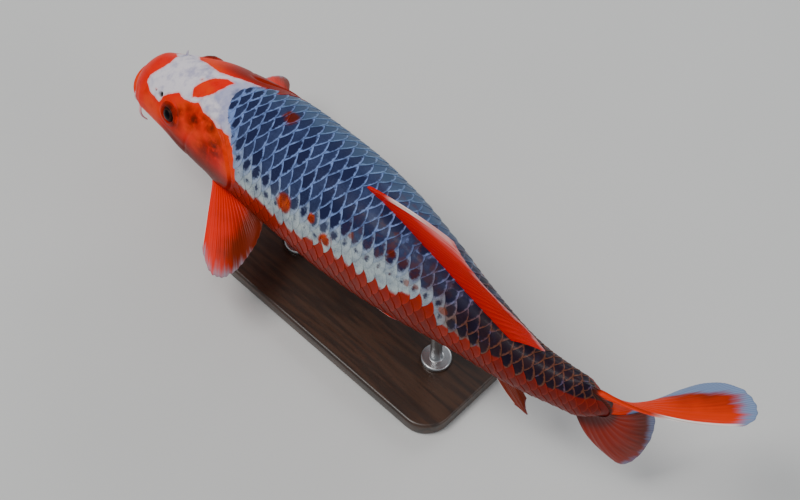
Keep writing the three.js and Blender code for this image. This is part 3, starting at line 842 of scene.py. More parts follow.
def skin_finish():
    """The bare skin of the head, smooth and full of pores, and what shows of it under the scales."""
    make = KoiFinish("koi_skin")
    _, middling, fine = make.lumps
    line, core = make.net()
    mist = (make.blue + (middling - 0.5) * 16).step(-11, 3) * 0.6
    ground = make.blend(mist, make.bare(make.band()), make.blend(0.35, LILAC, BLUE_LINE))
    deep = (make.blue - 9 + (middling - 0.5) * 9).step(-2, 5)
    ground = make.blend(deep, ground, make.blend(0.62, line, core))
    ragged = make.red + ((middling - 0.5) * 2.6 + (fine - 0.5) * 1.1)
    rim = ragged.step(-2.4, -0.2) * 0.55
    ground = make.blend(rim * (1 - make.blue.step(9, 15)), ground, PINK)
    colour = make.marked(ragged.step(-0.25, 0.35), ground, make.reds())
    # Painted shade: the nostrils, the mouth's parting and the lids' inner edges are painted near black.
    colour = make.blend(make.channel("pit"), colour, PIT_SHADE)
    pores = make.node("ShaderNodeTexVoronoi", {}, {"Vector": make.position(), "Scale": PORES_PER_METRE},
                      "Distance")
    height = fine * 0.6 + pores.step(0, 0.35) * 0.25 + middling * 0.4
    return make.wet_surface(colour, fine * 0.2 + 0.3, make.bump(height, 0.22, 0.55))


def scales_finish():
    """The net is drawn scale by scale: a dark core round each scale's heart and a pale line at its edge."""
    make = KoiFinish("koi_scales")
    _, middling, fine = make.lumps
    edge, heart, tone = make.channel("edge"), make.channel("heart"), make.channel("tone")
    blue, wobble = make.blue, make.noise(2.4, 2) - 0.5
    line, core = make.net()
    band, reds = make.band(), make.reds()

    ragged = edge + (middling - 0.5) * 1.2 + wobble * 2.2 + (fine - 0.5) * 0.9
    soft = make.along.step(116, 156)
    reach = blue.step(-3, 15) * 1.06 * (1 - soft) + blue.step(-12, 24) * 1.1 * soft
    reach = reach + (tone - 0.5) * 0.22 + (middling - 0.5) * 0.4 + wobble * 0.7 + (fine - 0.5) * 0.2
    dark = (reach - heart + 0.1).step(-0.12, 0.34) * ragged.step(0.2, 1.5) * blue.step(-13, -6)
    line = make.blend((1 - blue.step(-6, 24)) * soft * (1 - make.rear * 0.7), line, band)
    core = make.blend((tone * 0.5 + fine * 0.5).step(0.3, 0.9) * 0.16, core, line)
    ground = make.blend(blue.step(-13, -5), make.bare(band), make.blend(dark, line, core))
    ground = make.blend(make.channel("line") * 0.55, ground, REAR_CORE)

    reds = make.blend((1 - edge.step(0.2, 1.2)) * 0.12, reds, SCALE_EDGE_RED)
    reds = make.blend((1 - heart.step(0.2, 0.9)) * make.brick * 0.3, reds, BROWN)
    red = make.red + (tone - 0.5) * 2 + (middling - 0.5) * 2.4 + (fine - 0.5) * 1.6
    colour = make.marked(red.step(-1.1, 1.1), ground, reds)

    rings = edge.wave(GROWTH_RING) * 0.5 + 0.5
    height = rings * 0.25 + fine * 0.5 + make.noise(0.45, 2) * 0.25
    return make.wet_surface(colour, fine * 0.16 + tone * 0.1 + 0.28, make.bump(height, 0.1, 0.6))


def fin_finish(name, body, deep, tip, tip_from, tip_lean, tip_share, lead, dull, root=None, flush=0):
    """A fin's membrane and rays, with distances as shares of the way from root to edge.

    The pale tips begin at tip_from, and tip_lean brings them nearer at the rear; tip_share is how
    strong they are; lead is the width and start of the white leading ray; dull is how much the deep
    colour gathers towards the outer rear; root is the flesh's colour at the rays' roots and how far out
    it reaches; flush is how pink the leading ray's outer part and the streaks behind it are.
    """
    make = Finish(name)
    reach, spread, ray = make.channel("reach"), make.channel("spread"), make.channel("ray")
    lanes = make.node("ShaderNodeCombineXYZ", {}, {"X": spread * 34, "Y": reach * 1.6, "Z": 0.0})
    streak = make.node("ShaderNodeTexNoise", {}, {"Vector": lanes, "Scale": 1.0, "Detail": 3.0})
    broad, fine = make.noise(22, 2), make.noise(0.9, 2)
    outer = reach.step(0.3, 0.95) * spread.step(0, 0.8) * dull
    base = make.blend((streak * 0.3 + broad * 0.4 + outer + 0.05).step(0.38, 0.95), body, deep)
    base = make.blend(ray * 0.16, base, make.blend(0.3, base, RAY_ORANGE))
    if root:
        flesh, far_out = root
        base = make.blend(1 - (reach + (streak - 0.5) * 0.1).step(far_out * 0.3, far_out), base, flesh)
    pale = make.blend(ray * 0.5, tip, make.blend(0.4, tip, RAY_PALE))
    tips = reach + spread.step(0.35, 1) * tip_lean + (streak - 0.5) * 0.2 + (broad - 0.5) * 0.16
    colour = make.blend(tips.step(tip_from - 0.07, tip_from + 0.08) * tip_share, base, pale)
    wide, start = lead
    from_front = (spread + (streak - 0.5) * 0.02) / (reach + 0.2)
    if flush:
        streaks = (1 - from_front.step(wide, wide * 4)) * reach.step(0.4, 0.75) * streak.step(0.3, 0.55)
        colour = make.blend(streaks * flush, colour, PINK)
    edge = (1 - from_front.step(wide * 0.6, wide)) * reach.step(start, start + 0.16)
    edge = edge * (1 - reach.step(0.93, 1)) * (broad * 0.8 + 0.5).lesser(1)
    ray_paint = make.blend(reach.step(0.5, 0.72) * flush, LEADING_WHITE, PINK)
    colour = make.blend(edge, colour, ray_paint)
    segments = (make.channel("joint").wave(RAY_JOINT) * 0.5 + 0.5) * ray
    normal = make.bump(segments * 0.6 + fine * 0.4, 0.12, 0.5)
    return make.surface({
        "Base Color": colour, "Roughness": fine * 0.15 + 0.3, "Normal": normal,
        "Specular IOR Level": 0.1, "Coat Weight": 0.03, "Coat Roughness": 0.16,
    })


def iris_finish():
    make = Finish("iris_dark_brown")
    radius = make.channel("radius")
    speckle = make.noise(0.5, 3)
    turn = make.noise(1.6, 2)
    iris = make.blend((speckle * 0.6 + turn * 0.5).step(0.4, 0.75), paint(30, 10, 8), paint(60, 30, 22))
    iris = make.blend(radius.step(5.4, 6.4), iris, paint(24, 12, 10))
    iris = make.blend((1 - (radius + (speckle - 0.5) * 0.3).step(4.4, 4.7)) * 0.5, iris, paint(98, 54, 28))
    colour = make.blend((radius + (speckle - 0.5) * 0.2).step(4.2, 4.4), paint(6, 5, 12), iris)
    normal = make.bump(speckle, 0.15, 0.6)
    return make.surface({
        "Base Color": colour, "Roughness": radius.step(3.4, 4) * 0.3 + 0.1, "Normal": normal,
        "Specular IOR Level": 0.1,
    })


def wood_finish():
    """Dark stained hardwood with a satin wax."""
    make = Finish("stand_wood_satin")
    place_at = make.node("ShaderNodeMapping", {}, {"Vector": make.position(), "Scale": (0.09, 1.0, 0.5)})
    warp = make.noise(16, 2, at=place_at)
    grain = make.noise(3.2, 5, 0.65, at=place_at)
    pores = make.noise(0.7, 2, at=place_at)
    bands = (warp * 5 + grain * 0.8).wave(1.0) * 0.5 + 0.5
    colour = make.blend(bands * 0.6 + grain * 0.3, paint(38, 25, 18), paint(74, 48, 32))
    colour = make.blend(pores.step(0.58, 0.72) * 0.6, colour, paint(20, 13, 10))
    normal = make.bump(grain * 0.5 + pores * 0.5, 0.08, 0.5)
    return make.surface({
        "Base Color": colour, "Roughness": grain * 0.2 + 0.3, "Normal": normal,
        "Coat Weight": 0.25, "Coat Roughness": 0.22,
    })


def steel_finish():
    make = Finish("stand_steel_brushed")
    lengthways = make.node("ShaderNodeMapping", {}, {"Vector": make.position(), "Scale": (1.0, 1.0, 0.03)})
    brush = make.noise(0.35, 3, at=lengthways)
    cloud = make.noise(9, 2)
    colour = make.blend(cloud, paint(176, 178, 181), paint(198, 199, 200))
    return make.surface({
        "Base Color": colour, "Metallic": 1.0, "Roughness": brush * 0.2 + cloud * 0.06 + 0.18,
        "Normal": make.bump(brush, 0.03, 0.4),
    })


def floor_finish():
    make = Finish("studio_floor_pale")
    cloud, fine = make.noise(240, 2), make.noise(2, 2)
    colour = make.blend(cloud, paint(214, 214, 212), paint(222, 222, 220))
    return make.surface({
        "Base Color": colour, "Roughness": fine * 0.1 + 0.7, "Normal": make.bump(fine, 0.1, 0.2)})


# ---------------------------------------------------------------- the skin

SKIN_END = 499
STALK_FROM = 440
SKIN_THINNEST = 0.4              # each side of the stalk keeps at least this much flesh
HEAD_NEAR = 150                  # the head's features lie before this station
MOUTH_NEAR, MOUTH_REACH = 40, 15    # where the skin may swell into lips and barbels
ROUND_COUNT = 330                # points in one ring of the head; the trunk has a third of them


def ring_angles():
    """Angles round the head's rings, closer together over the eyes and nostrils."""
    turn = np.linspace(0, 360, 1441)
    crowd = 1 + 0.8 * (hill(turn - 36, 26) + hill(turn - 144, 26))
    total = np.concatenate([[0], np.cumsum((crowd[1:] + crowd[:-1]) / 2)])
    return np.interp(np.arange(ROUND_COUNT) / ROUND_COUNT * total[-1], total, turn)


def skin_places(along, round_):
    """Points of the skin with its relief, and the painted shade in the nostrils and along the mouth's
    parting.
    """
    shape = np.broadcast(along, round_).shape
    along, round_ = (np.broadcast_to(value, shape).ravel() for value in (along, round_))
    points, outward = body_point(along, round_), body_outward(along, round_)
    rise = -lerp(HEAD_DEPTH, COAT_DEPTH, ease(-3, 6, behind_head(points)))
    rise = rise + base_relief(points) - stalk_taper(along, round_)
    across = np.abs(np.cos(np.radians(round_)))
    thinnest = SKIN_THINNEST - half_width(along) * across ** SECTION_FULLNESS - 5 * (1 - across)
    rise = np.where(along > STALK_FROM, np.maximum(rise, thinnest), rise)
    pit = np.zeros(len(points))
    face = along < HEAD_NEAR
    rise[face] += gill_relief(points[face])
    rise[face] += face_relief(along[face], from_belly(round_[face]))
    rise[face] += eye_relief(points[face])
    depth, rim = nostril_depth(points[face])
    rise[face] += 0.4 * rim - 2.0 * depth
    pit[face] = depth
    by_mouth = along < MOUTH_NEAR
    lines = [mouth_curve(*LIP_CURVES["upper"][:3])]
    lines += [barbel_curve("long", sign, 5)[:2] for sign in (1, -1)]
    gaps = [distance_to_line(points[by_mouth], line)[0] for line in lines]
    by_mouth[by_mouth] = np.min(gaps, 0) < MOUTH_REACH
    swollen, slit = add_mouth(points[by_mouth], outward[by_mouth], rise[by_mouth])
    rise[by_mouth] = swollen
    pit[by_mouth] = np.maximum(pit[by_mouth], 0.75 * ease(0.9, 1.6, slit))
    return points + outward * rise[:, None], pit


def body_shell():
    """Rings from the snout to the tail: fine over the head, with a third of the points behind it."""
    nose = SNOUT_ROUNDING * (1 - np.cos(np.radians(np.linspace(1.5, 90, 38))))
    head = np.concatenate([
        nose, np.arange(15.7, 38, 0.75), np.arange(38.2, 61, 0.52), np.arange(61.2, 147, 0.86)])
    trunk = np.linspace(148.5, SKIN_END, 134)
    angles = ring_angles()
    head_points, head_pit_shade = skin_places(head[:, None], angles[None])
    trunk_points, trunk_pit_shade = skin_places(trunk[:, None], angles[None, ::3])
    few = ROUND_COUNT // 3
    tip = head_points[:ROUND_COUNT].mean(0, keepdims=True)
    last = trunk_points[-few:]
    hub = last.mean(0)
    rearwards = unit(hub - trunk_points[:few].mean(0))
    rounded = [hub + (last - hub) * share + rearwards * push for share, push in ((0.86, 0.7), (0.5, 1.2))]
    points = np.concatenate([head_points, trunk_points, *rounded, tip])
    first_trunk = len(head_points)
    faces = grid_faces(len(head), ROUND_COUNT, True).tolist()
    faces += grid_faces(len(trunk) + 2, few, True, first_trunk).tolist()
    edge = first_trunk - ROUND_COUNT
    for i in range(few):
        after = (i + 1) % few
        faces.append([edge + 3 * i, first_trunk + i, first_trunk + after, edge + 3 * after,
                      edge + 3 * i + 2, edge + 3 * i + 1])
    tip_index = len(points) - 1
    faces += [[tip_index, i, (i + 1) % ROUND_COUNT] for i in range(ROUND_COUNT)]
    faces.append([first_trunk + (len(trunk) + 1) * few + i for i in range(few)][::-1])
    end = np.full(2 * few, float(BODY_END))
    along = np.concatenate([np.repeat(head, ROUND_COUNT), np.repeat(trunk, few), end, [0]])
    around = np.concatenate([np.tile(angles, len(head)), np.tile(angles[::3], len(trunk) + 2), [90]])
    channels = markings(along, around)
    channels["pit"] = np.concatenate([head_pit_shade, trunk_pit_shade, np.zeros(2 * few), [0]])
    return points, faces, channels


def shell_channels(count, along, round_, **changes):
    """Channels of a small shell, all alike, taken from one place on the skin."""
    channels = {name: np.full(count, value[0]) for name, value in markings(along, round_).items()}
    channels["pit"] = np.zeros(count)
    for name, value in changes.items():
        channels[name] = np.broadcast_to(value, count)
    return channels


def tube(curve, radii, sides):
    """Rings of points round a curve, with both ends closed."""
    forward = unit(np.gradient(curve, axis=0))
    across = unit(np.cross(forward, [0.3, 0.2, 1]))
    upward = np.cross(across, forward)
    turn = circle(sides)[:, None]
    ways = np.cos(turn) * across[:, None] + np.sin(turn) * upward[:, None]
    return (curve[:, None] + radii[:, None, None] * ways).reshape(-1, 3), capped_faces(len(curve), sides)


BARBEL_SIDES = 14


def barbel_shell(kind, sign):
    """A tapering barbel with a slightly beaded surface."""
    curve = barbel_curve(kind, sign, 34)
    thick, thin = BARBELS[kind][3:]
    t = np.linspace(0, 1, len(curve))
    beads = 1 + 0.05 * np.sin(t * 70)
    radii = lerp(thick, thin, t ** 0.8) * beads * np.sqrt(np.clip((1.02 - t) / 0.06, 0.05, 1))
    points, faces = tube(curve, radii, BARBEL_SIDES)
    paler = np.repeat(lerp(0.4, -1.2, ease(0.05, 0.8, t)), BARBEL_SIDES)
    return points, faces, shell_channels(len(points), 20, 170, red=paler, brick=0.25, blue=-20.0)


NOSTRIL_FLAPS = {-1: (0.5, 3.4), 1: (3.8, 4.6)}    # height, and how far ahead of the nostril
FLAP_SUNK = 0.8                  # how deep a flap's foot lies in the skin


def nostril_flap_shell(sign):
    """The upright leaf of skin between a nostril's two openings."""
    high, ahead = NOSTRIL_FLAPS[sign]
    along = NOSTRIL_ALONG - ahead
    angle = round_of(sign, NOSTRIL_ANGLE + 0.5)
    foot, outward = body_point(along, angle), body_outward(along, angle)
    back = unit(body_point(along + 2, angle) - foot)
    across = np.cross(outward, back)
    rows, columns = 12, 13
    v, u = np.meshgrid(np.linspace(0, 1, rows), np.linspace(-1, 1, columns), indexing="ij")
    wide = 1.9 * np.sqrt(np.clip(1 - (v * 0.97) ** 2.6, 0, 1))
    lean = 0.9 * v * v + 0.5 * (1 - u * u)
    upright = (high + FLAP_SUNK) * v - FLAP_SUNK
    sheet = foot + outward * upright[..., None] + across * (u * wide)[..., None] + back * lean[..., None]
    half = (0.34 * (1 - 0.5 * v) * (1 - 0.7 * np.abs(u) ** 3))[..., None] * back
    points = np.concatenate([(sheet - half).reshape(-1, 3), (sheet + half).reshape(-1, 3)])
    return points, two_sided_faces(rows, columns).tolist(), shell_channels(len(points), 33, angle, red=-6.0)


LID_SIDES = 96
LID_REACH = 16                   # how far from the eye's centre the skin is looked at
LID_MIDDLE = 9.4                 # radius at which the lid takes the level of the skin
LID_WAVES = 5                    # the skin's level round the eye is smoothed to this many waves
LID_HOOD = {"left": 0.5, "right": 1.5}    # how far the upper rim stands out
EYEBALL_SHARE = 0.955            # of the radius that the head leaves for the eyeball


def skin_level(centre, outward, ray, skin):
    """How high the skin stands round an eye in each direction, with its smaller waves smoothed out."""
    near = skin[np.linalg.norm(skin - centre, axis=1) < LID_REACH]
    probe = centre + ray * LID_MIDDLE + outward * 4
    nearest = [near[np.argsort(np.linalg.norm(near - point, axis=1))[:6]] for point in probe]
    waves = np.fft.rfft((np.array([few.mean(0) for few in nearest]) - centre) @ outward)
    waves[LID_WAVES:] = 0
    return np.fft.irfft(waves, LID_SIDES)


def eyelid_shell(side_name, skin):
    """The smooth rim of skin that closes round an eyeball."""
    centre, outward, radius = EYES[side_name]
    radius *= EYEBALL_SHARE
    ray = spokes(outward, LID_SIDES)
    level = skin_level(centre, outward, ray, skin)
    above = ease(0.1, 1, ray[:, 2])
    hood = above * LID_HOOD[side_name]

    def narrowed(at):
        return at * (1 - 0.12 * above * ease(10, 7, at))

    def ball(at):
        return np.sqrt(radius ** 2 - narrowed(at) ** 2)

    lip = LID_OPENING
    inner = [(lip + out, ball(lip + out) + up) for out, up in (
        (0, -0.5), (0.12, 0.05), (0.35, 0.28), (0.7, 0.5))]
    crest = (level + 0.95 + inner[-1][1]) / 2 + 0.2 + hood
    outer = [(lip + out, level + up + hood * ease(4.2, 1.9, out)) for out, up in (
        (1.9, 0.8), (2.7, 0.4), (3.6, 0.08), (4.6, -0.35), (3.6, -1.6), (1.6, -2.2))]
    profile = inner + [(lip + 1.2, crest)] + outer + [(lip + 0.2, ball(lip + 0.2) - 1.8)]
    rings = [centre + ray * narrowed(at)[:, None] + outward * heights[:, None] for at, heights in profile]
    points = np.concatenate(rings)
    faces = grid_faces(len(profile), LID_SIDES, True).tolist()
    last = (len(profile) - 1) * LID_SIDES
    faces += [[last + i, i, (i + 1) % LID_SIDES, last + (i + 1) % LID_SIDES] for i in range(LID_SIDES)]
    angle = round_of(SIDES[side_name], EYE_ANGLE)
    back = unit(body_point(EYE_ALONG + 2, angle) - centre - outward * radius)
    # The lid is painted darker next to the opening, fading outwards, and browner towards its upper rear.
    browner = ease(-0.9, 0.7, ray @ unit(back + [0, 0, 0.7]))
    deeper = np.array([1 - 0.55 * ease(lip + 1.9, lip + 4.6, at) for at, _ in profile])
    smudge = (deeper[:, None] * lerp(0.05, 1, browner)[None]).ravel()
    channels = shell_channels(len(points), EYE_ALONG, angle, red=9.0, brick=0.55, smudge=smudge)
    # Painted shade along the lid's inner edge, where it meets the eyeball.
    channels["pit"] = np.concatenate([np.full(LID_SIDES, 0.85 - 0.85 * ease(lip + 0.2, lip + 1.3, at))
                                      for at, _ in profile])
    return points, faces, channels


def join_shells(shells):
    """One mesh's points, faces and channels from several closed shells."""
    points, faces, channels, start = [], [], {}, 0
    for own_points, own_faces, own_channels in shells:
        points.append(own_points)
        faces += [[corner + start for corner in face] for face in turned_out(own_points, own_faces)]
        for name, values in own_channels.items():
            channels.setdefault(name, []).append(values)
        start += len(own_points)
    channels = {name: np.concatenate(values) for name, values in channels.items()}
    return np.concatenate(points), faces, channels


def make_skin():
    """All the flesh in one piece."""
    body = body_shell()
    shells = [body]
    for side_name, sign in SIDES.items():
        shells += [barbel_shell(kind, sign) for kind in BARBELS]
        shells += [nostril_flap_shell(sign), eyelid_shell(side_name, body[0])]
    points, faces, channels = join_shells(shells)
    skin = make_piece("skin", points, faces, skin_finish(), channels)
    nodes = ["head", "shoulder", "trunk_middle", "trunk_rear", "tail_stalk", "upper_lip", "lower_lip"]
    paired_nodes = ("gill_cover", "barbel_long", "barbel_short", "nostril_flap")
    nodes += [f"{kind}_{side_name}" for side_name in SIDES for kind in paired_nodes]
    return finish_piece(skin, "red_skin", *nodes)


# ---------------------------------------------------------------- the scales

NAPE_START, SIDE_START = -3, 0.5    # scales' centres start this far behind the head's edge
NAPE_ABOVE = 43                  # the nape begins this high above the body line
CLEAR_OF_FIN = 7                 # the last centres lie this far before the tail fin's rays
CHART_STEP = 2
CHART_ALONG = np.arange(90, 491, CHART_STEP, float)
CHART_SHARE = np.linspace(0, 1, 61)


def quarter_chart(sign):
    """For each station, the length of a quarter section, and the angle at each share of it."""
    angles = np.linspace(0, 90, 91)
    points = body_point(CHART_ALONG[:, None], sign * angles[None])
    steps = np.linalg.norm(np.diff(points, axis=1), axis=-1)
    lengths = np.concatenate([np.zeros((len(steps), 1)), np.cumsum(steps, axis=1)], axis=1)
    table = [np.interp(CHART_SHARE * row[-1], row, angles) for row in lengths]
    return lengths[:, -1], np.array(table)


CHARTS = {sign: quarter_chart(sign) for sign in (1, -1)}


def quarter_length(along, sign):
    return np.interp(along, CHART_ALONG, CHARTS[sign][0])


def row_height(along, sign):
    """Distance between neighbouring rows; rows are lost along the dorsal and anal fins."""
    front = quarter_length(along, sign) / ROWS_FRONT
    rear = quarter_length(along, sign) / ROWS_REAR
    at_from = quarter_length(DORSAL_FROM, sign) / ROWS_FRONT
    at_to = quarter_length(DORSAL_TO, sign) / ROWS_REAR
    middle = lerp(at_from, at_to, ease(DORSAL_FROM, DORSAL_TO, along))
    return np.where(along < DORSAL_FROM, front, np.where(along > DORSAL_TO, rear, middle))


def angle_at(along, row, sign):
    """Degrees from the side line, up or down, of a row number; past the midline it runs on over it."""
    share = np.abs(row) * row_height(along, sign) / quarter_length(along, sign)
    over = share > 1
    share = np.clip(np.where(over, 2 - share, share), 0, 1)
    table = CHARTS[sign][1]
    i = np.clip((along - CHART_ALONG[0]) / CHART_STEP, 0, len(CHART_ALONG) - 1.001)
    j = share * (len(CHART_SHARE) - 1)
    i0, j0 = i.astype(int), np.minimum(j.astype(int), len(CHART_SHARE) - 2)
    i1, fi, fj = np.minimum(i0 + 1, len(CHART_ALONG) - 1), i - i0, j - j0
    angle = (lerp(table[i0, j0], table[i0, j0 + 1], fj) * (1 - fi)
             + lerp(table[i1, j0], table[i1, j0 + 1], fj) * fi)
    return np.where(over, 180 - angle, angle)


def round_at(along, row, side_sign):
    """Angle round the body of a place on a row; rows above 0 lie above the side line."""
    above = np.where(row >= 0, angle_at(along, row, 1), -angle_at(along, row, -1))
    return above if side_sign > 0 else 180 - above


def pitch_at(along):
    """Distance along the body between neighbouring scales of one row."""
    return np.interp(along, (96, 118, 150, 330, 420, 480), (8.2, 9.8, 11, 10.8, 9.6, 7.8))


def scale_places(side_sign, upper):
    """(along, row) of the scales of one quarter; the left side's has the row on the midline too."""
    chosen = []
    half_column, along = 0, float(SCALES_FROM)
    sign = 1 if upper else -1
    while along < SCALES_TO:
        row_count = ROWS_FRONT if along < (DORSAL_FROM + DORSAL_TO) / 2 else ROWS_REAR
        midline = float(quarter_length(along, sign) / row_height(along, sign))
        numbers = [float(k) for k in range(0 if upper else 1, ROWS_FRONT + 1)
                   if (k + half_column) % 2 == 0 and k <= midline - 0.45]
        if side_sign < 0 and (row_count + half_column) % 2 == 0:
            numbers.append(midline)
        for number in numbers:
            middle = body_point(along, round_at(np.array(along), number * sign, side_sign))
            before_fin = fin_line(middle[2] - LINE_HEIGHT) - along
            clear_of_head = NAPE_START if middle[2] > LINE_HEIGHT + NAPE_ABOVE else SIDE_START
            if behind_head(middle) > clear_of_head and before_fin > CLEAR_OF_FIN:
                chosen.append((along, number * sign))
        along += float(pitch_at(along)) / 2
        half_column += 1
    return np.array(chosen)


SCALE_ACROSS, SCALE_RINGS = 13, 9    # points across and along one scale
SCALE_POINTS = SCALE_ACROSS * SCALE_RINGS    # on one of its two faces
SCALE_SHARP = 50                 # degrees from which a scale's edge is shown sharp
DIVE_UNDER_HEAD = 1.4            # how deep the first scales dive under the head's skin
BORDER_FOLLOW = 0.5              # how much a red border crosses scales, rather than stepping round them
FREE_REACH = 0.56                # of the pitch: how far the free edge lies behind the scale's centre

# Start and width, in a scale's patch of the baking map, of its length and of its three parts.
PATCH_LENGTH = (0.06, 0.88)
PATCH_OUTER, PATCH_RIM, PATCH_INNER = (0.03, 0.74), (0.8, 0.04), (0.88, 0.08)
MAP_FROM, MAP_LENGTH = SCALES_FROM - 2, SCALES_TO - SCALES_FROM + 10
MAP_CELL, MAP_CELL_HIGH = 0.88, 0.98    # of the pitch, and of the row's height


def scale_faces():
    """Faces of one scale, and where each face corner lies in its patch: outer face, rim, inner face."""
    def in_patch(places, part):
        return places * (PATCH_LENGTH[1], part[1]) + (PATCH_LENGTH[0], part[0])

    v, u = np.meshgrid(np.linspace(0, 1, SCALE_RINGS), np.linspace(0, 1, SCALE_ACROSS), indexing="ij")
    flat = np.stack([v.ravel(), u.ravel()], -1)
    faces = two_sided_faces(SCALE_RINGS, SCALE_ACROSS)
    quads = (SCALE_RINGS - 1) * (SCALE_ACROSS - 1)
    outer, inner = faces[:quads], faces[quads:2 * quads] - SCALE_POINTS
    share = np.linspace(0, 1, len(faces) - 2 * quads + 1)
    low, high = 0 * share[1:], 0 * share[1:] + 1
    strip = np.stack([share[1:], low, share[:-1], low, share[:-1], high, share[1:], high], -1)
    return faces, np.concatenate([
        in_patch(flat[outer], PATCH_OUTER), in_patch(flat[inner], PATCH_INNER),
        in_patch(strip.reshape(-1, 4, 2), PATCH_RIM)])


def both_faces(values):
    """Values of the scales' outer points, given to the inner points under them too."""
    values = values.reshape(-1, SCALE_POINTS)
    return np.concatenate([values, values], 1).ravel()


def scale_surfaces(along, around, lowered, thick):
    """Points of the scales' outer faces and of their inner faces, lowered this much into the relief."""
    points, outward = body_point(along, around), body_outward(along, around)
    relief = base_relief(points) - stalk_taper(along, around)
    near = along < HEAD_NEAR
    relief[near] += gill_relief(points[near])
    on_nape = ease(LINE_HEIGHT + 38, LINE_HEIGHT + 46, points[near][:, 2])
    relief[near] -= DIVE_UNDER_HEAD * ease(1, -2.5, behind_head(points[near]) + 2.5 * on_nape)
    height = (relief - lowered)[:, None]
    return points + outward * height, points + outward * (height - thick[:, None])


def scale_markings(centre, row, along, around, side_sign):
    """The markings for whole scales, with the borders and spots crossing them point by point."""
    root_round = round_at(centre, row, side_sign)
    channels = {key: np.repeat(value, 2 * SCALE_POINTS)
                for key, value in markings(centre, root_round, False).items()}
    follow_along = lerp(centre[:, None, None], along, BORDER_FOLLOW)
    follow_round = lerp(root_round[:, None, None], around, BORDER_FOLLOW)
    followed = markings(follow_along, follow_round, False)
    for key in ("red", "blue"):
        channels[key] = both_faces(followed[key])
    inside, brown = spots(both_faces(along), from_belly(both_faces(around)))
    channels["brick"] = np.where(inside > channels["red"], brown, channels["brick"])
    channels["red"] = np.maximum(channels["red"], inside)
    return channels


def lay_patches(piece, centre, row, pitch, lowest_row, patch):
    """The baking map: each scale's patch in its own cell of length along the body by rows."""
    rows = ROWS_FRONT + 1
    corner = np.stack([(centre - MAP_FROM - pitch * MAP_CELL / 2) / MAP_LENGTH,
                       (np.round(row) - lowest_row) / rows], -1)
    cell = np.stack([pitch * MAP_CELL / MAP_LENGTH, np.full(len(row), MAP_CELL_HIGH / rows)], -1)
    laid = corner[:, None, None] + cell[:, None, None] * patch[None]
    layer = piece.data.uv_layers.new(name="OFBake")
    layer.data.foreach_set("uv", laid.astype(np.float32).ravel())


def make_scales(name, side_sign, upper, finish, random):
    """One quarter of the coat, with a little chance in each scale's length, tone and tilt."""
    centre, row = scale_places(side_sign, upper).T
    count = len(centre)
    pitch = pitch_at(centre) * (1 + random.uniform(-0.03, 0.03, count))
    tone = random.uniform(0, 1, count)
    tilt = random.uniform(-0.06, 0.06, count)[:, None, None]

    # j runs from a scale's buried edge to its free edge, q from side to side, x is mm behind its centre.
    j, q = np.meshgrid(np.linspace(0, 1, SCALE_RINGS), np.linspace(-1, 1, SCALE_ACROSS), indexing="ij")
    long = pitch[:, None, None]
    free = long * (FREE_REACH - 0.5 * np.abs(q) ** 1.9)
    buried = long * (FREE_REACH - SCALE_LENGTH + 0.12 * q * q)
    x = lerp(buried, free, 1 - (1 - j) ** 1.25)
    narrow = 0.7 + 0.3 * ease(0, 0.45, j)
    along = centre[:, None, None] + x
    around = round_at(along, row[:, None, None] + q * narrow * 1.02, side_sign)
    lowered = (long * FREE_REACH - x) * SCALE_SLOPE + SCALE_CURL * np.abs(q) ** 3 + tilt * q
    thick = np.broadcast_to((0.45 + 0.55 * ease(0, 0.5, j)) * SCALE_THICK, x.shape)
    surfaces = scale_surfaces(along.ravel(), around.ravel(), lowered.ravel(), thick.ravel())
    points = np.concatenate([surface.reshape(count, -1, 3) for surface in surfaces], 1)
    template, patch = scale_faces()
    faces = template + np.arange(count)[:, None, None] * 2 * SCALE_POINTS

    channels = scale_markings(centre, row, along, around, side_sign)
    channels["tone"] = np.repeat(tone, 2 * SCALE_POINTS)
    channels["edge"] = both_faces((free - x) * 0.85)
    channels["heart"] = both_faces(np.hypot((x - 0.04 * long) / (0.52 * long), q * narrow / 0.74))
    on_line = (np.abs(row) < 0.5)[:, None, None]
    channels["line"] = both_faces(on_line * hill(q, 0.13) * span(j, 0.6, 0.86, 0.25, 0.1))
    piece = make_piece(name, points.reshape(-1, 3), faces.reshape(-1, 4).tolist(), finish, channels,
                       sharp=SCALE_SHARP)
    lay_patches(piece, centre, row, pitch, 0 if upper else -ROWS_FRONT, patch)
    return finish_piece(piece, "blue_scales" if upper else "red_skin")


# ---------------------------------------------------------------- the fins

TAIL_ROOT_MIDDLE = 497           # where the lobes' roots meet on the side line
TAIL_ROOT_EDGE = {1: 480, -1: 467}    # where the upper and the lower lobe's leading ray starts


def placed(*places):
    return [place(*at) for at in places]


def hump(v):
    return 4 * v * (1 - v)


def back_root(start, end, side_from, side_to, below, sign):
    """A root along the back (1) or the belly (-1), sunk this far below it."""
    def root(u):
        along = lerp(start, end, u)
        return place(along, lerp(side_from, side_to, u), lift(along) + sign * (half_height(along) - below))
    return root


def flank_root(start, end, round_from, round_to, sunk):
    """A root on the flank, sunk this far into it."""
    def root(u):
        along, around = lerp(start, end, u), lerp(round_from, round_to, u)
        return body_point(along, around) - sunk * body_outward(along, around)
    return root


def tail_root(sign):
    """A tail lobe's root, from the side line forwards to the stalk's upper (1) or lower (-1) edge."""
    def root(u):
        from_middle = 1 - u
        along = lerp(TAIL_ROOT_MIDDLE, TAIL_ROOT_EDGE[sign], from_middle ** 2)
        return place(along, 0, sign * STALK_HALF_HEIGHT * from_middle)
    return root


# A fin's bow says how far each of its points lies off the straight sheet between root and edge, with
# u from the leading ray to the last one and v from root to edge.


def steady_bow(*vector):
    return lambda u, v: hump(v)[..., None] * np.array(vector, float)


def leading_bow(*vector):
    return lambda u, v: (hump(v) * (1 - u))[..., None] * np.array(vector, float)


def dorsal_bow(u, v):
    return (hump(v) * lerp(5, 1.5, u))[..., None] * np.array([0, 0, 1.0])


def pectoral_left_bow(u, v):
    return steady_bow(0, 0, 3.5)(u, v) + leading_bow(-10.2, 14.1, 0)(u, v)


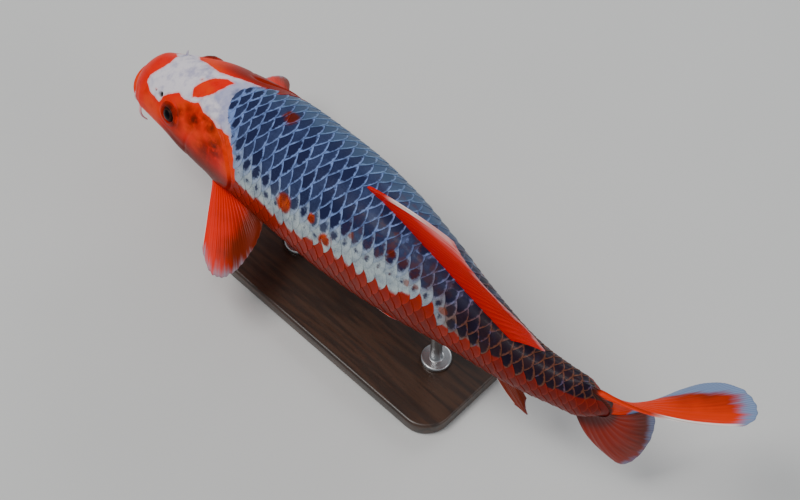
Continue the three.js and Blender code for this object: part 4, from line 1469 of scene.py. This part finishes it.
def tail_bow(from_size, to_size):
    leftwards = place(BODY_END, -1, 0) - place(BODY_END, 0, 0)
    return lambda u, v: (hump(v) * lerp(from_size, to_size, u))[..., None] * leftwards


def pelvic(sign):
    edge = placed((292, sign * 17, -64), (308, sign * 15, -64), (302, sign * 4, -60), (283, sign * 3, -58))
    root = flank_root(236, 251, 270 + sign * 27, 270 + sign * 15, 3.5)
    return root, edge, steady_bow(0, sign * 2, -3), (4.4, 1), 9


FINS = {                         # root, edge, bow, (thick at root, extra on the leading ray), rays
    "dorsal_fin": (back_root(DORSAL_FROM, DORSAL_TO, 2.5, -3, 3, 1),
                   placed((338, 3, 89.5), (383, -9, 71), (409, 2, 65), (438.6, -4.8, 48.5)),
                   dorsal_bow, (3.4, 1.4), 21),
    "anal_fin": (back_root(374, 404, 0, 0, 3, -1),
                 placed((414, -4, -70), (440, -6.5, -73), (425, -11, -62), (425, -3.4, -48)),
                 leading_bow(2, -1, -3), (3, 1), 7),
    "pectoral_fin_left": (flank_root(103, 119, 216, 226, 4),
                          placed((142.6, -87.1, -44), (192.9, -129.4, -46),
                                 (178.3, -52.7, -50), (163.2, -37.4, -36.5)),
                          pectoral_left_bow, (5, 1.2), 16),
    "pectoral_fin_right": (flank_root(103, 119, -36, -46, 4),
                           placed((64.7, 70, -55.6), (65.3, 93.8, -66.2),
                                  (80.8, 101.6, -67.2), (85.4, 68.8, -63.2)),
                           steady_bow(-2, 4, 5), (5, 1.2), 15),
    "pelvic_fin_left": pelvic(-1),
    "pelvic_fin_right": pelvic(1),
    "tail_fin_upper": (tail_root(1),
                       placed((598, 24, 43.4), (624, 43.5, 52.5), (559, 81, 48), (522, 20.5, 0)),
                       tail_bow(10, 4), (6.5, 1.4), 11),
    "tail_fin_lower": (tail_root(-1),
                       placed((502, 9, -88), (515, 0, -108), (537, 31, -45), (522, 20.5, 0)),
                       tail_bow(7, 4), (6.5, 1.4), 10),
}
RAY_STEPS = 8                    # points across one ray
FIN_ROWS = {                     # points along one ray
    "dorsal_fin": 46, "pectoral_fin_left": 76, "pectoral_fin_right": 56,
    "tail_fin_upper": 90, "tail_fin_lower": 70,
}
FIN_ROWS_OTHERS = 50
MEMBRANE = 0.34                  # thickness between the rays at the fin's edge
FIN_NOTCH = 0.006                # how far the edge falls back between rays, in shares of a ray
FIN_BILLOW = 0.55                # height of the membrane's slow waves


def ray_ridge(u, v, rays):
    """Height of the rays, from 0 to 1: each one forks twice on its way to the edge."""
    across = np.abs(u * rays % 1 - 0.5)
    fork = np.abs(across - 0.25 * ease(0.3, 0.9, v))
    twig = np.abs(fork - 0.12 * ease(0.6, 1, v))
    return hill(twig, lerp(0.2, 0.075, ease(0.15, 0.9, v)))


def make_fin(name, finish, random):
    """A solid fin with raised rays, from its root to an edge that is a little ragged."""
    root, edge, bow, (root_thick, leading), rays = FINS[name]
    rows, columns = FIN_ROWS.get(name, FIN_ROWS_OTHERS), rays * RAY_STEPS + 1
    v, u = np.meshgrid(np.linspace(0, 1, rows), np.linspace(0, 1, columns), indexing="ij")
    tips = np.interp(u[0] * rays, np.arange(2 * rays + 1) / 2, random.uniform(0, 0.01, 2 * rays + 1))
    notch = FIN_NOTCH * (0.5 + 0.5 * np.cos(u[0] * rays * 2 * np.pi)) + tips
    notch = notch * ease(0, 0.08, u[0]) * ease(0, 0.06, 1 - u[0]) + 0.008
    v_out = v * (1 - notch[None])
    sheet = lerp(root(u[0])[None], along_bezier(edge, u[0])[None], v_out[..., None]) + bow(u, v_out)
    lengthways, across = np.gradient(sheet, axis=0), np.gradient(sheet, axis=1)
    normal = unit(np.cross(across, lengthways))
    phase = random.uniform(0, 1)
    billow = FIN_BILLOW * np.sin((u * 2.6 + phase + v * 0.4) * 2 * np.pi)
    sheet = sheet + normal * (billow * v ** 1.5 * (1 - ease(0.93, 1, v)))[..., None]
    ridge = ray_ridge(u, v, rays)
    stout = leading * (1 - ease(0, 0.1, u)) * (1 - 0.7 * v)
    thick = (lerp(root_thick * 0.8, MEMBRANE, v ** 0.45) + stout) * lerp(0.3, 1, ease(0, 0.1, v + u))
    half = thick / 2 + ridge * lerp(0.34, 0.16, v) * lerp(0.3, 1, ease(0.02, 0.35, v))
    offset = normal * half[..., None]
    points = np.concatenate([(sheet + offset).reshape(-1, 3), (sheet - offset).reshape(-1, 3)])
    ray_length = np.linalg.norm(along_bezier(edge, u[0]) - root(u[0]), axis=1)
    channels = {"reach": v, "spread": u, "ray": ridge, "joint": v * ray_length[None]}
    channels = {key: np.tile(value.ravel(), 2) for key, value in channels.items()}
    faces = turned_out(points, two_sided_faces(rows, columns).tolist())
    piece = make_piece(name + "_rayed", points, faces, finish, channels)
    return finish_piece(piece, "fin", name)


# ---------------------------------------------------------------- the eyes

EYE_SIDES = 72
BEHIND_IRIS = 9.0                # the radius told to the finish for the eyeball's hidden half


def make_eye(side_name, finish):
    """An eyeball with a swelling cornea, a groove at its edge and a dark pupil."""
    centre, outward, radius = EYES[side_name]
    radius *= EYEBALL_SHARE
    tilt = np.radians(np.concatenate([np.linspace(0.6, 62, 44), np.linspace(66, 178, 22)]))
    swell = 1 + 0.022 * hill(tilt, 0.42) - 0.02 * hill(tilt - 0.98, 0.05)
    at, height = radius * swell * np.sin(tilt), radius * swell * np.cos(tilt)
    rings = centre + at[:, None, None] * spokes(outward, EYE_SIDES) + height[:, None, None] * outward
    points = rings.reshape(-1, 3)
    faces = turned_out(points, capped_faces(len(tilt), EYE_SIDES))
    channels = {"radius": np.repeat(np.where(height > 0, at, BEHIND_IRIS), EYE_SIDES)}
    piece = make_piece(f"eyeball_{side_name}", points, faces, finish, channels)
    return finish_piece(piece, "eye", "eye_" + side_name)


# ---------------------------------------------------------------- the stand

BASE_CORNER, BASE_BEVEL = 24, 2.5
ROD_RADIUS, ROD_FOOT_RADIUS, ROD_FOOT_THICK = 5, 13, 4
FOOT_EDGE, FOOT_ROUND = 0.5, 1.8  # the foot's lower bevel and its rounded upper edge
ROD_FILLET = 1.6                 # hollow curve between the foot and the rod
ROD_TOP_EDGE = 0.6
ROD_SIDES = 64
STAND_SHARP = 40                 # degrees from which an edge is shown sharp
QUARTER_TURN = np.linspace(0, np.pi / 2, 7)


def make_base(finish):
    """The flat base: a rounded rectangle with eased edges."""
    low, high = (np.array(corner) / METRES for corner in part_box("stand_base"))
    middle, size = (low + high) / 2, high - low
    bottom = [(BASE_BEVEL * (1 - math.sin(t)), BASE_BEVEL * (1 - math.cos(t))) for t in QUARTER_TURN]
    profile = bottom + [(inset, size[2] - up) for inset, up in reversed(bottom)]
    rings = []
    for inset, height in profile:
        ring = []
        for quarter, way in enumerate(((1, 1), (-1, 1), (-1, -1), (1, -1))):
            hub = middle[:2] + np.array(way) * (size[:2] / 2 - BASE_CORNER)
            angles = np.linspace(0, np.pi / 2, 14) + quarter * np.pi / 2
            ring.append(hub + (BASE_CORNER - inset) * np.stack([np.cos(angles), np.sin(angles)], -1))
        ring = np.concatenate(ring)
        rings.append(np.column_stack([ring, np.full(len(ring), low[2] + height)]))
    points = np.concatenate(rings)
    faces = turned_out(points, capped_faces(len(rings), len(rings[0])))
    piece = make_piece("stand_base_plate", points, faces, finish, sharp=STAND_SHARP)
    return finish_piece(piece, "stand_wood", "stand_base")


def make_rod(which, finish):
    """A rod on a round foot, turned in one piece."""
    low, high = (np.array(corner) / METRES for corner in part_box("stand_rod_" + which))
    middle = (low + high) / 2
    foot, top = low[2], high[2]
    foot_top = foot + ROD_FOOT_THICK
    profile = [(0.01, foot), (ROD_FOOT_RADIUS - FOOT_EDGE, foot), (ROD_FOOT_RADIUS, foot + FOOT_EDGE)]
    for t in np.linspace(0, np.pi / 2, 8):
        profile.append((ROD_FOOT_RADIUS - FOOT_ROUND * (1 - math.cos(t)),
                        foot_top - FOOT_ROUND * (1 - math.sin(t))))
    for t in QUARTER_TURN:
        profile.append((ROD_RADIUS + ROD_FILLET * (1 - math.sin(t)),
                        foot_top + ROD_FILLET * (1 - math.cos(t))))
    profile += [(ROD_RADIUS, foot + share * (top - foot)) for share in (0.3, 0.6)]
    profile += [(ROD_RADIUS, top - ROD_TOP_EDGE), (ROD_RADIUS - ROD_TOP_EDGE, top), (0.01, top)]
    points = np.array([(middle[0] + radius * math.cos(t), middle[1] + radius * math.sin(t), height)
                       for radius, height in profile for t in circle(ROD_SIDES)])
    faces = turned_out(points, capped_faces(len(profile), ROD_SIDES))
    piece = make_piece(f"stand_rod_{which}_turned", points, faces, finish, sharp=STAND_SHARP)
    return finish_piece(piece, "stand_steel", "stand_rod_" + which)


# ---------------------------------------------------------------- the studio


def make_studio():
    floor_size = 6000
    corners = [(-floor_size, -floor_size, 0), (floor_size, -floor_size, 0),
               (floor_size, floor_size, 0), (-floor_size, floor_size, 0)]
    floor = make_piece("studio_floor", np.array(corners, float), [[0, 1, 2, 3]], floor_finish(),
                       room=(-floor_size, floor_size))

    def softbox(name, spot, aim, size, power, tint):
        light = bpy.data.lights.new(name, "AREA")
        light.shape, light.size, light.size_y = "RECTANGLE", size[0], size[1]
        light.energy, light.color = power, tint
        lamp = bpy.data.objects.new(name, light)
        lamp.location = spot
        lamp.rotation_euler = (Vector(aim) - Vector(spot)).to_track_quat("-Z", "Y").to_euler()
        bpy.context.scene.collection.objects.link(lamp)

    heart = (0.03, 0.0, 0.13)
    softbox("key_softbox", (-0.5, -0.85, 2.45), heart, (1.0, 1.0), 34, (1.0, 0.985, 0.96))
    softbox("fill_softbox", (2.0, 0.5, 1.1), heart, (1.2, 1.0), 8, (0.95, 0.975, 1.0))
    softbox("back_softbox", (-0.4, 2.0, 1.2), heart, (1.2, 0.9), 11, (0.97, 0.985, 1.0))

    world = bpy.data.worlds.new("studio_air")
    world.use_nodes = True
    world.node_tree.nodes["Background"].inputs["Color"].default_value = (0.82, 0.86, 0.9, 1)
    world.node_tree.nodes["Background"].inputs["Strength"].default_value = 0.46
    bpy.context.scene.world = world


CAMERA_TURN, CAMERA_RISE, CAMERA_AWAY = math.radians(44.2), math.radians(60), 2.5
CAMERA_AIM = Vector((0.0321, 0.0062, 0.128))
CAMERA_LENS, CAMERA_SENSOR = 140.625, 36


def make_camera():
    camera = bpy.data.cameras.new("studio_camera")
    camera.lens, camera.sensor_width = CAMERA_LENS, CAMERA_SENSOR
    camera.clip_start, camera.clip_end = 0.05, 50
    stand_at = bpy.data.objects.new("studio_camera", camera)
    flat = math.cos(CAMERA_RISE)
    away = Vector((math.sin(CAMERA_TURN) * flat, -math.cos(CAMERA_TURN) * flat, math.sin(CAMERA_RISE)))
    stand_at.location = CAMERA_AIM + CAMERA_AWAY * away
    stand_at.rotation_euler = (-away).to_track_quat("-Z", "Y").to_euler()
    bpy.context.scene.collection.objects.link(stand_at)
    bpy.context.scene.camera = stand_at


# ---------------------------------------------------------------- putting it together

make_camera()
make_skin()

dice = np.random.default_rng(7)
scale_finish = scales_finish()
for side, sign in SIDES.items():
    for upper in (True, False):
        make_scales(f"scales_{side}_{'upper' if upper else 'lower'}", sign, upper, scale_finish, dice)

TIP_BLUE = paint(106, 130, 172)
fin_finishes = {
    "dorsal_fin": fin_finish(
        "dorsal_fin_red", body=paint(214, 16, 0), deep=paint(180, 8, 0), tip=paint(226, 160, 160),
        tip_from=0.97, tip_lean=0.02, tip_share=0.8, lead=(0.052, 0.22), dull=0.1, flush=0.75),
    "tail_fin_upper": fin_finish(
        "tail_fin_orange", body=paint(228, 50, 0), deep=paint(140, 34, 12), tip=TIP_BLUE,
        tip_from=0.93, tip_lean=0.46, tip_share=1, lead=(0.064, 0.42), dull=0.75, root=(BROWN, 0.07)),
    "tail_fin_lower": fin_finish(
        # Painted shade: the lower lobe is painted in darker reds than the upper one, darkest at its root.
        "tail_fin_red_shaded", body=paint(150, 28, 6), deep=paint(86, 22, 12), tip=TIP_BLUE,
        tip_from=0.96, tip_lean=0.08, tip_share=0.7, lead=(0.02, 0.5), dull=0.5,
        root=(paint(92, 26, 22), 0.3)),
    # Painted shade: the anal fin is painted in darker oranges than the fins above it.
    "anal_fin": fin_finish(
        "anal_fin_orange_shaded", body=paint(134, 38, 10), deep=paint(92, 24, 8), tip=TIP_BLUE,
        tip_from=1.02, tip_lean=0, tip_share=0.4, lead=(0.03, 0.3), dull=0.3),
}
paired = fin_finish(
    "paired_fin_orange", body=paint(250, 30, 0), deep=paint(120, 34, 14), tip=paint(150, 156, 172),
    tip_from=0.965, tip_lean=-0.12, tip_share=0.8, lead=(0.024, 0.3), dull=0.75)
for fin in FINS:
    make_fin(fin, fin_finishes.get(fin, paired), dice)

iris = iris_finish()
for side in SIDES:
    make_eye(side, iris)

make_base(wood_finish())
steel = steel_finish()
for which in ("front", "rear"):
    make_rod(which, steel)
make_studio()
